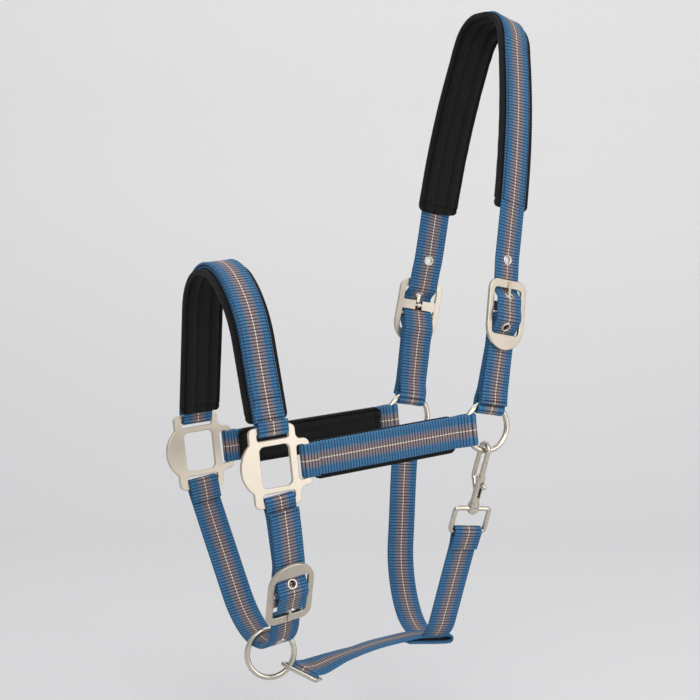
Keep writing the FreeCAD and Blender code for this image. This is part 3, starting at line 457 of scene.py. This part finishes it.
def stitch_line(name, body, spots, frame_matrix, length=2.6, width=0.7):
    """Sewn stitches, (middle, direction, outward) each: small rounded threads let into the cloth."""
    verts, faces = [], []
    sides, rings = 6, (-1.0, -0.7, -0.25, 0.25, 0.7, 1.0)
    for middle, ahead, out in spots:
        ahead = ahead.normalized()
        across = out.cross(ahead).normalized()
        base = len(verts)
        for share in rings:
            radius = width * (1 - 0.75 * abs(share) ** 3)
            sink = -0.35 * abs(share) ** 2 * width * 2
            for k in range(sides):
                angle = 2 * math.pi * k / sides
                verts.append(middle + ahead * share * length / 2 + across * radius * math.cos(angle)
                             + out * (radius * 0.75 * math.sin(angle) + sink))
        for row in range(len(rings) - 1):
            for k in range(sides):
                after = (k + 1) % sides
                faces.append((base + row * sides + k, base + row * sides + after,
                              base + (row + 1) * sides + after, base + (row + 1) * sides + k))
        faces.append(tuple(base + k for k in reversed(range(sides))))
        faces.append(tuple(base + (len(rings) - 1) * sides + k for k in range(sides)))
    made = mesh_object(name, verts, faces, THREAD, frame_matrix)
    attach(made, body)
    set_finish(made, "webbing")
    return made


def row_at(rows, s):
    return min(rows, key=lambda row: abs(row[0] - s))


def cross_seam(rows, s, level, margin=1.6, pitch=2.6, pull=None):
    """Stitches across a strap at distance s, standing on the face at level above the middle."""
    _, middle, arm, out = row_at(rows, s)
    width = arm.length - margin
    count = int(2 * width / pitch)
    spots = []
    for k in range(count):
        lateral = -width + (k + 0.5) * 2 * width / count
        place = middle + arm.normalized() * lateral + out * level
        if pull:
            place = pull(place, lateral)
        spots.append((place, arm, out * math.copysign(1, level)))
    return spots


def side_seam(rows, low, high, level, inset=1.7, pitch=2.45):
    """Two rows of stitches along a strap's edges between two distances."""
    spots = []
    count = max(1, int((high - low) / pitch))
    for k in range(count):
        a = row_at(rows, low + (k + 0.5) * (high - low) / count)
        b = row_at(rows, a[0] + 1.0)
        for sign in (-1, 1):
            place = a[1] + a[2].normalized() * sign * (a[2].length - inset) + a[3] * level
            ahead = b[1] - a[1] if (b[1] - a[1]).length > 1e-6 else a[2].cross(a[3])
            spots.append((place, ahead, a[3] * math.copysign(1, level)))
    return spots


# ---------------------------------------------------------------- padding
PAD_HALF = (0.1, 0.21, 0.275, 0.31, 0.345, 0.40, 0.5, 0.62, 0.74, 0.80, 0.84, 0.88, 0.94, 0.985, 1.0)
PAD_ACROSS = tuple(-a for a in reversed(PAD_HALF)) + (0.0,) + PAD_HALF


def pad_profile(share, depth):
    """Depth of the padding across its width: bound edge, two long quilted rolls and a channel."""
    a = abs(share)
    if a >= 0.84:
        t = (a - 0.92) / 0.08
        off = min(1.0, abs(t))
        return 0.60 * depth * math.sqrt(max(0.0, 1 - off ** 2)) + 0.30 * depth * (1 - off ** 4)
    if a >= 0.31:
        t = (a - 0.575) / 0.265
        return depth * (0.46 + 0.54 * (1 - abs(t) ** 2.6))
    t = a / 0.31
    return depth * (0.46 + 0.30 * (1 - t ** 2.4))


def padding(name, body, node, rows, frame_matrix, half, seed):
    """Neoprene padding on the inner side of a strap, quilted along its length, with round ends."""
    verts = []
    last = rows[-1][0]
    corner = 6.0
    columns = 2 * len(PAD_ACROSS)
    for s, middle, arm, out in rows:
        left = min(s, last - s)
        narrow = 1.0
        if left < corner:
            narrow = 1 - (corner - math.sqrt(max(0.0, corner ** 2 - (corner - left) ** 2))) / half
        swell = min(1.0, math.sqrt(max(0.0, 1 - (1 - min(1.0, left / 3.2)) ** 2)) + 0.12)
        dip = 1 - 0.42 * math.exp(-((left - 6.3) / 0.9) ** 2)
        reach = arm.normalized() * half * narrow
        for share in PAD_ACROSS:
            level = pad_profile(share, PAD_THICK) * swell * dip
            level += 0.35 * noise.noise(Vector((s / 9.0, share * 3.0, seed))) * min(1.0, level)
            verts.append(middle + reach * share - out * max(0.25, level))
        for share in reversed(PAD_ACROSS):
            verts.append(middle + reach * share * 0.995)
    faces = grid_faces(len(rows), columns)
    half_columns = len(PAD_ACROSS)
    for start, flip in ((0, False), ((len(rows) - 1) * columns, True)):
        for k in range(half_columns - 1):
            a, b = start + k, start + k + 1
            c, d = start + columns - 2 - k, start + columns - 1 - k
            faces.append((a, b, c, d) if flip else (d, c, b, a))
    made = mesh_object(name, verts, faces, NEOPRENE, frame_matrix)
    normals_out(made)
    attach(made, body)
    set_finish(made, BLACK)
    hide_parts(node)
    return made


def normals_out(made):
    work = bmesh.new()
    work.from_mesh(made.data)
    bmesh.ops.recalc_face_normals(work, faces=work.faces)
    work.to_mesh(made.data)
    work.free()


def pad_thread(name, body, rows, frame_matrix, half):
    """Long seams of the padding, in the grooves of its quilting."""
    spots = []
    last = rows[-1][0]
    count = int((last - 14) / 3.3)
    for k in range(count):
        s = 7 + (k + 0.5) * (last - 14) / count
        a, b = row_at(rows, s), row_at(rows, s + 1.0)
        for share in (-0.84, -0.31, 0.31, 0.84):
            level = 0.47 * PAD_THICK
            spots.append((a[1] + a[2].normalized() * half * share - a[3] * level, b[1] - a[1], -a[3]))
    made = stitch_line(name, body, spots, frame_matrix, length=2.4, width=0.3)
    made.data.materials[0] = BINDING
    made["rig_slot"] = BLACK
    return made


# ---------------------------------------------------------------- noseband
SHOULDERS = [(-53.8, 120.6, 78.3), (-4.6, 163.3, 40.9), (31.9, 130.4, 50.0)]
BORE = 1.9
PLATE_SPAN = 70.0


def finish_webbing(made, body, *nodes):
    normals_out(made)
    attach(made, body)
    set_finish(made, "webbing")
    if nodes:
        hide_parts(*nodes)
    return made


def build_noseband():
    near = [(-PLATE_SPAN - BORE, 34.0, 0), (-PLATE_SPAN - BORE, 24.7, 1.8), (-PLATE_SPAN + BORE, 24.7, 1.8)]
    far = [(PLATE_SPAN - BORE, 24.7, 1.8), (PLATE_SPAN + BORE, 24.7, 1.8), (PLATE_SPAN + BORE, 34.0, 0)]
    rows = stations(near + SHOULDERS + far, lift=1.2)
    finish_webbing(webbing("noseband_inner", rows, NOSE, seed=1.0), "head_front", "noseband_webbing")
    line = [(-66.9, 32.6, 0)] + SHOULDERS + [(65.4, 32.6, 0)]
    over = stations(line, lift=-1.25)
    last = over[-1][0]

    def lapped(s):
        """The overlay laps over the turned-back ends of the strap beneath it."""
        gap = min(s, last - s)
        return 1.0 * max(0.0, 1 - gap / 16.0) ** 2
    finish_webbing(webbing("noseband_outer", over, NOSE, seed=2.0, hump=lapped),
                   "head_front", "noseband_overlay")
    spots = []
    for s in (2.6, last - 2.6, 17.5, last - 17.5):
        spots += cross_seam(over, s, 1.15 + lapped(s))
    spots += side_seam(over, 3, last - 3, 1.0)
    stitch_line("noseband_stitches", "head_front", spots, NOSE)
    inside = stations(line, lift=2.45, step=1.1)
    padding("noseband_pad", "head_front", "noseband_padding", inside, NOSE, PAD_WIDTH / 2, seed=2.0)
    pad_thread("noseband_pad_seams", "head_front", inside, NOSE, PAD_WIDTH / 2)


# ---------------------------------------------------------------- cheeks
def build_cheek(side, mirror):
    frame_matrix = FRONT @ mirror
    bar = -PLATE_REACH + 23.2
    tail = -PLATE_REACH + 34.5
    # outer leg, fold round the ring, inner leg, loop round the plate's bar, turned-back end
    points = [(-29.0, -63.3, 0), (-21.5, -66.0, 5), (-13.5, -65.85, 3.7), (-13.5, -58.15, 3.7),
              (-21.5, -58.0, 5), (-30.0, -60.85, 30), (bar - 1.2, -PLATE_SPAN + BORE + 1.2, 3.0),
              (bar - 1.2, -PLATE_SPAN - BORE - 1.2, 3.0), (tail, -PLATE_SPAN - BORE - 1.2, 0)]
    rows = stations(points, plane=LEVEL)
    pull = ring_pull(Vector((1, 0, 0)))
    made = webbing("cheek_inner_" + side, rows, frame_matrix, pull=pull, wobble=0.0)
    finish_webbing(made, "head_front", "cheek_webbing_" + side)
    yaw = math.radians(2.485)
    ahead = Vector((math.cos(yaw), math.sin(yaw)))
    aside = Vector((-ahead.y, ahead.x))
    start = Vector((-27.8, -62.14)) - aside * 1.25
    end = start - ahead * 129.5
    over = stations([(start.x, start.y, 0), (end.x, end.y, 0)], plane=LEVEL)
    last = over[-1][0]

    def lapped(s):
        return -(1.0 * max(0.0, 1 - (last - s) / 16.0) ** 2 + 0.5 * max(0.0, 1 - s / 8.0) ** 2)
    made = webbing("cheek_outer_" + side, over, frame_matrix, seed=4.0, hump=lapped)
    finish_webbing(made, "head_front", "cheek_overlay_" + side)
    spots = []
    for s in (2.4, last - 2.6, last - 17.5):
        spots += cross_seam(over, s, -1.15 + lapped(s))
    spots += side_seam(over, 3, last - 3, -1.0)
    stitch_line("cheek_stitches_" + side, "head_front", spots, frame_matrix)
    start = Vector((-27.8, -62.14)) + aside * 2.45
    end = start - ahead * 128.0
    inside = stations([(start.x, start.y, 0), (end.x, end.y, 0)], plane=LEVEL, step=1.1)
    inside = [(s, middle + Vector((0, 0, -1.5)), arm, out) for s, middle, arm, out in inside]
    padding("cheek_pad_" + side, "head_front", "cheek_padding_" + side, inside, frame_matrix,
            CHEEK_PAD_HALF, seed=5.0)
    pad_thread("cheek_pad_seams_" + side, "head_front", inside, frame_matrix, CHEEK_PAD_HALF)


# ---------------------------------------------------------------- crown
WEAVE = [(-3.2, -24, 11), (-3.2, -15, 4), (5.7, -4.6, 4), (5.7, -1, 5), (4.2, 5, 5), (4.2, 12.5, 3.2),
         (-3, 19.2, 3.2), (-3, 29.5, 15)]
CROWN_BUCKLE = (-69.0, 89.0)
CROWN_LEAN = 5.0
CHIN_BUCKLE = (-60.0, -70.0)
CHIN_LEAN = 150.0


def along(origin, lean, out, up):
    angle = math.radians(lean)
    hand = math.copysign(1, math.cos(angle))
    return (origin[0] + up * math.sin(angle) - out * math.cos(angle) * hand,
            origin[1] + up * math.cos(angle) + out * math.sin(angle) * hand)


def far_side(points):
    return [(-p[0],) + tuple(p[1:]) for p in reversed(points)]


def build_crown():
    out = FLARE * WEB_WIDTH / 2
    woven = [along(CROWN_BUCKLE, CROWN_LEAN, o, u) + (r,) for o, u, r in WEAVE]
    near = [(-69.1, 17.6, 0), (-67.7, 28.0, 30)] + woven + [(-61.0, 133.0, 40), (-56.5, 237.0, 490),
                                                             (-26.5, 331.8, 31)]
    slide = [(-0.3 * out, 0)] * 2 + [(-out, 0.0872 * out)] * len(woven) + [(-out, 0), (-out, 0), (-out, out)]
    points = near + far_side(near)
    rows = stations(points, slide + far_side(slide))
    made = finish_webbing(webbing("crown_strap", rows, CROWN, seed=6.0), "crown", "crown_webbing")
    places = [((-61.05, 132.0), -6.0), (along(CROWN_BUCKLE, CROWN_LEAN, 2.25, 14.31), -47.1 - CROWN_LEAN),
              (along(CROWN_BUCKLE, CROWN_LEAN, 1.25, -9.8), 40.6 - CROWN_LEAN)]
    spots = [CROWN @ shift(0, *place) @ turn("X", lean) @ turn("Z", 9.0) @ turn("X", 90)
             for place, lean in places]
    punch(made, spots + [MIRROR @ spot for spot in spots])
    last = rows[-1][0]
    # the padded stretch lies between the two places this high
    ends = [row[0] for row in rows if abs(row[1].z - 178.0) < 0.6]
    low, high = min(ends), max(ends)
    spots = cross_seam(rows, low, 1.15) + cross_seam(rows, high, 1.15) + side_seam(rows, low, high, 1.0)
    stitch_line("crown_stitches", "crown", spots, CROWN)
    tails = []
    for s in (2.8, last - 2.8):
        tails += cross_seam(rows, s, 1.15)
    stitch_line("crown_tail_stitches", "crown", tails, CROWN)
    wide = FLARE * PAD_WIDTH / 2
    near = [(-59.3, 172.0, 0), (-53.9, 245.3, 480), (-26.5, 331.8, 31)]
    slide = [(-wide, 0), (-wide, 0), (-wide, wide)]
    inside = stations(near + far_side(near), slide + far_side(slide), half=PAD_WIDTH / 2, lift=1.3, step=1.1)
    padding("crown_pad", "crown", "crown_padding", inside, CROWN, PAD_WIDTH / 2, seed=7.0)
    pad_thread("crown_pad_seams", "crown", inside, CROWN, PAD_WIDTH / 2)


def build_buckle_strap(side, mirror):
    frame_matrix = CROWN @ mirror
    out = FLARE * WEB_WIDTH / 2
    lower = along(CROWN_BUCKLE, CROWN_LEAN, -6.9, -24)
    upper = along(CROWN_BUCKLE, CROWN_LEAN, -6.9, -13)
    bar = along(CROWN_BUCKLE, CROWN_LEAN, 0, -2.7)
    ahead = (Vector(bar) - Vector(upper)).normalized()
    aside = Vector((-ahead.y, ahead.x))
    bar = Vector(bar)
    turn_radius = 2.85
    top = bar + ahead * turn_radius
    gap = 1.22

    def off(place, amount):
        return (place[0] + aside.x * amount, place[1] + aside.y * amount)

    # the doubled strap is one loop: up the outer leg, round the bar, down the inner leg, round the ring
    outer_low, outer_up = (lower[0] - gap, lower[1]), (upper[0] - gap * 0.8, upper[1] + gap * 0.6)
    inner_low, inner_up = (lower[0] + gap, lower[1]), (upper[0] + gap, upper[1] - gap * 0.6)
    points = [(-RING_SPAN - 1.2, 27.0, 0), outer_low + (30,), outer_up + (6,),
              off(top, turn_radius) + (turn_radius * 0.98,), off(top, -turn_radius) + (turn_radius * 0.98,),
              inner_up + (6,), inner_low + (30,), (-RING_SPAN + 1.25, 29.0, 20), (-RING_SPAN + 4.0, 21.5, 5),
              (-RING_SPAN + 3.85, 13.5, 3.7), (-RING_SPAN - 3.85, 13.5, 3.7), (-RING_SPAN - 4.0, 21.5, 5),
              (-RING_SPAN - 1.2, 27.4, 0)]
    # how far the flare shifts each corner's edge, as shares of the strap's own flare
    flares = [0.4, 0.8] + [1] * 4 + [0.8] + [0.1] * 5 + [0.4]
    shifts = [(-share * out, 0) for share in flares]
    rows = stations(points, shifts)
    pull = ring_pull(Vector((0, 0, -1)))
    made = webbing("buckle_strap_loop_" + side, rows, frame_matrix, pull=pull, wobble=0.0)
    finish_webbing(made, "crown", "buckle_strap_" + side)
    spots = cross_seam(rows, 1.8, 1.15) + cross_seam(rows, 22.0, 1.15)
    stitch_line("buckle_strap_stitches_" + side, "crown", spots, frame_matrix)


# ---------------------------------------------------------------- chin and throat
def bend_place(past):
    """A place on the near bend of the chin strap, so many degrees past where the bend begins."""
    radius, corner, low, slope = 38.0, -28.7, -118.2, math.radians(60)
    entry = radius * math.tan(slope / 2)
    start = (corner - entry * math.cos(slope), low + entry * math.sin(slope))
    centre = (start[0] + radius * math.sin(slope), start[1] + radius * math.cos(slope))
    angle = math.radians(210 + past)
    return (centre[0] + radius * math.cos(angle), centre[1] + radius * math.sin(angle))


def build_chin():
    woven = [along(CHIN_BUCKLE, CHIN_LEAN, o, u) + (r,) for o, u, r in WEAVE][:-1]
    points = [(-75.9, -4.5, 0)] + woven
    points += [(-28.7, -118.2, 38), (29.6, -118.2, 49.2), (73.1, -4.5, 12), (73.1, 5.8, 3.0),
               (66.9, 5.8, 3.0), (66.9, -12, 0)]
    rows = stations(points)
    made = finish_webbing(webbing("chin_strap_web", rows, CHIN, seed=8.0), "head_front", "chin_strap")
    places = [(along(CHIN_BUCKLE, CHIN_LEAN, 2.25, 14.31), 47.1 - CHIN_LEAN),
              (along(CHIN_BUCKLE, CHIN_LEAN, 1.25, -9.8), -40.6 - CHIN_LEAN), (bend_place(29.0), 241.0)]
    punch(made, [CHIN @ shift(0, *place) @ turn("X", lean) @ turn("X", 90) for place, lean in places])
    last = rows[-1][0]
    spots = cross_seam(rows, last - 36.5, -1.15) + cross_seam(rows, 1.8, -1.1)
    stitch_line("chin_stitches", "head_front", spots, CHIN)
    lower = along(CHIN_BUCKLE, CHIN_LEAN, -6.9, -24)
    upper = along(CHIN_BUCKLE, CHIN_LEAN, -6.9, -13)
    bar = Vector(along(CHIN_BUCKLE, CHIN_LEAN, 0, -2.7))
    ahead = (bar - Vector(upper)).normalized()
    aside = Vector((-ahead.y, ahead.x))
    radius = 2.85
    tip = bar + ahead * radius
    gap = 1.22
    points = [(-70 - gap, -9.0, 0), (-70 - 3.1, 5.8, 3.0), (-70 + 3.1, 5.8, 3.0), (-70 + gap, -9.0, 20),
              (lower[0] + gap, lower[1], 20), (upper[0] + gap, upper[1] + gap * 0.6, 6)]
    first = tip - aside * radius
    second = tip + aside * radius
    if (first - Vector(points[-1][:2])).length > (second - Vector(points[-1][:2])).length:
        first, second = second, first
    points += [(first.x, first.y, radius * 0.98), (second.x, second.y, radius * 0.98),
               (upper[0] - gap, upper[1] - gap * 0.6, 6), (lower[0] - gap, lower[1] - 0.4, 20),
               (-70 - gap, -9.4, 0)]
    rows = stations(points)
    made = webbing("chin_buckle_loop", rows, CHIN, wobble=0.0)
    finish_webbing(made, "head_front", "chin_buckle_strap")


def build_throat():
    lean = math.radians(20.0)
    bar = Vector((-50.4 + 20 * math.sin(lean), -65.3 - 20 * math.cos(lean)))
    heading = math.radians(-72.4)
    down = Vector((math.cos(heading), math.sin(heading)))
    inner = Vector((-down.y, down.x))
    reach = 3.5
    a = bar + down * 15 - inner * 1.6
    b = bar - down * reach - inner * reach
    c = bar - down * reach + inner * reach
    d = bar + down * 12 + inner * 1.2
    points = [(a.x, a.y, 0), (b.x, b.y, 3.4), (c.x, c.y, 3.4), (d.x, d.y, 14),
              (-10.2, -176.4, 24), (27.6, -176.3, 43), (58.4, -133.8, 97), (63.2, -29.0, 18),
              (66.0, -21.5, 5), (65.85, -13.5, 3.7), (58.15, -13.5, 3.7), (58.0, -21.5, 5), (60.8, -30.0, 0)]
    rows = stations(points)
    flat = Vector((0, 0, 1))

    def pull(place, lateral):
        if place.y < 40:
            return place
        return ring_pull(flat)(place, lateral)
    finish_webbing(webbing("throat_strap_web", rows, THROAT, pull=pull, seed=9.0),
                   "head_front", "throat_strap")
    spots = []
    for s in (2.0, 9.0, rows[-1][0] - 2.0):
        spots += cross_seam(rows, s, -1.15)
    stitch_line("throat_stitches", "head_front", spots, THROAT)


# ---------------------------------------------------------------- jaw strap
def curve_rows(places, widths, step=RIB / 6):
    """Rows along a smooth line through places, with a width direction at each."""
    count = 24
    dense = []
    for number in range(len(places) - 1):
        before = places[max(0, number - 1)]
        a, b = places[number], places[number + 1]
        after = places[min(len(places) - 1, number + 2)]
        for k in range(count):
            t = k / count
            place = 0.5 * ((2 * a) + (b - before) * t + (2 * before - 5 * a + 4 * b - after) * t ** 2
                           + (3 * a - before - 3 * b + after) * t ** 3)
            dense.append((place, widths[number].lerp(widths[number + 1], t)))
    dense.append((places[-1], widths[-1]))
    lengths = [0.0]
    for here, ahead in zip(dense, dense[1:]):
        lengths.append(lengths[-1] + (ahead[0] - here[0]).length)
    total = lengths[-1]
    steps = int(total / step)
    rows, at_ = [], 0
    for row in range(steps + 1):
        s = total * row / steps
        while at_ < len(dense) - 2 and lengths[at_ + 1] < s:
            at_ += 1
        share = (s - lengths[at_]) / max(1e-9, lengths[at_ + 1] - lengths[at_])
        share = min(1.0, max(0.0, share))
        place = dense[at_][0].lerp(dense[at_ + 1][0], share)
        wide = dense[at_][1].lerp(dense[at_ + 1][1], share)
        ahead = (dense[at_ + 1][0] - dense[at_][0]).normalized()
        across = (wide - ahead * ahead.dot(wide)).normalized()
        rows.append((s, place, across * WEB_WIDTH / 2, across.cross(ahead)))
    return rows


LINK = shift(-137.0, -10.6, -189.3) @ turn("Z", -48.5) @ turn("Y", 21.1) @ turn("X", -9.9)


def build_jaw():
    """The strap from the link to the loop sewn round the bottom of the throat strap."""
    spin = LINK.to_3x3()
    bar = LINK @ Vector((0, 6.85, 0))
    wide, away = spin @ Vector((1, 0, 0)), spin @ Vector((0, 1, 0))
    up = spin @ Vector((0, 0, 1))
    radius = 2.9
    places, widths = [], []
    under = [away * 15 - up * 2.0, away * 4 - up * 3.2, -up * radius - away * 0.2,
             -away * radius * 0.75 - up * radius * 0.7, -away * radius,
             -away * radius * 0.75 + up * radius * 0.7, up * radius, away * 4 + up * 2.6]
    for step in under:
        places.append(bar + step)
        widths.append(wide)
    run = [((-117.5, 0.5, -188.9), (0.45, -0.85, -0.28)), ((-97, 3, -184.0), (0.12, -0.98, -0.1)),
           ((-79, 4.0, -180.6), (0, -1, 0)), ((-62, 4.5, -177.2), (0, -1, 0)), ((-38, 5, -174.3), (0, -1, 0))]
    for place, across in run:
        places.append(Vector(place))
        widths.append(Vector(across))
    loop = [(-26, 5, -173.2), (-12, 5, -173.6), (0, 5, -173.9), (2.9, 5, -176.4), (0.5, 5, -179.3),
            (-12, 5, -179.0), (-26, 5, -177.7), (-37, 5, -176.9)]
    for place in loop:
        places.append(Vector(place))
        widths.append(Vector((0, -1, 0)))
    rows = curve_rows(places, widths)
    finish_webbing(webbing("jaw_strap_web", rows, Matrix.Identity(4), wobble=0.0),
                   "head_front", "jaw_strap")


# ---------------------------------------------------------------- hardware
def dress_hardware():
    """Better materials on the carried-over nodes."""
    by_slot = {"cast_nickel": CAST, "wire_nickel": WIRE, "eyelet_nickel": EYELET, "spring_steel": SPRING}
    for row in frame["record"]["subparts"]:
        made = frame["nodes"][row["node"]]
        material = by_slot.get(row["material_slot"])
        if material is None:
            continue
        if not made.material_slots:
            made.data.materials.append(material)
        for place in made.material_slots:
            place.link = "OBJECT"
            place.material = material


# ---------------------------------------------------------------- studio
def build_studio():
    """Pale floor and backdrop, soft lights and the camera."""
    verts, faces = [], []
    low = -0.262
    profile = [(-2.0, low), (1.2, low)]
    for k in range(1, 13):
        angle = math.pi / 2 * k / 12
        profile.append((1.2 + 0.7 * math.sin(angle), low + 0.7 * (1 - math.cos(angle))))
    profile.append((1.9, 3.2))
    facing = Matrix.Rotation(math.radians(-28), 4, "Z")
    for ahead, up in profile:
        for aside in (-4.0, 4.0):
            verts.append(facing @ Vector((aside, ahead, up)))
    for k in range(len(profile) - 1):
        faces.append((2 * k, 2 * k + 1, 2 * k + 3, 2 * k + 2))
    pale, tree, shader = new_material("studio", (0.80, 0.80, 0.81), 0.95)
    height = add(tree, "ShaderNodeSeparateXYZ")
    tree.links.new(add(tree, "ShaderNodeTexCoord").outputs["Object"], height.inputs[0])
    # painted shade: the floor and the curve of the sweep are painted a darker grey than the wall above, to
    # offset the stronger light on the floor
    upper = window(tree, height.outputs[2], 0.5, 9.0, 0.76)
    shade = mix_color(tree, upper, (0.66, 0.66, 0.665), (0.80, 0.795, 0.79))
    tree.links.new(shade, shader.inputs["Base Color"])
    data = bpy.data.meshes.new("studio")
    data.from_pydata(verts, [], faces)
    data.materials.append(pale)
    for polygon in data.polygons:
        polygon.use_smooth = True
    floor = bpy.data.objects.new("studio", data)
    bpy.context.scene.collection.objects.link(floor)
    world = bpy.data.worlds.new("studio_world")
    world.use_nodes = True
    world.node_tree.nodes["Background"].inputs[0].default_value = (0.97, 0.975, 1.0, 1)
    world.node_tree.nodes["Background"].inputs[1].default_value = 0.5
    bpy.context.scene.world = world
    middle = Vector((-0.088, 0.0, 0.06))
    for name, place, size_, power, aim in (("key", (-0.9, -1.6, 1.3), 1.2, 17.0, middle),
                                           ("fill", (0.85, -1.75, 0.35), 1.5, 15.0, middle),
                                           ("top", (0.1, 0.1, 1.9), 1.2, 3.0, middle),
                                           ("wash", (0.25, 0.5, 2.9), 2.6, 34.0, Vector((0.95, 1.8, 0.7)))):
        light = bpy.data.lights.new(name, "AREA")
        light.size = size_
        light.energy = power
        lamp = bpy.data.objects.new(name, light)
        lamp.location = place
        lamp.rotation_euler = (aim - Vector(place)).to_track_quat("-Z", "Y").to_euler()
        bpy.context.scene.collection.objects.link(lamp)
    bpy.context.scene.view_settings.view_transform = "Standard"
    camera = bpy.data.cameras.new("camera")
    camera.lens = 97.7
    camera.sensor_width = 36.0
    eye = bpy.data.objects.new("camera", camera)
    target = Vector((-0.0882, 0.0, 0.0597))
    azimuth, elevation, distance = math.radians(-28.0), math.radians(2.3), 1.5
    back = Vector((math.sin(azimuth) * math.cos(elevation), -math.cos(azimuth) * math.cos(elevation),
                   math.sin(elevation)))
    eye.location = target + back * distance
    eye.rotation_euler = (-back).to_track_quat("-Z", "Y").to_euler()
    bpy.context.scene.collection.objects.link(eye)
    bpy.context.scene.camera = eye


build_studio()
build_noseband()
for side, mirror in (("left", Matrix.Identity(4)), ("right", MIRROR)):
    build_cheek(side, mirror)
    build_buckle_strap(side, mirror)
build_crown()
build_chin()
build_throat()
build_jaw()
dress_hardware()
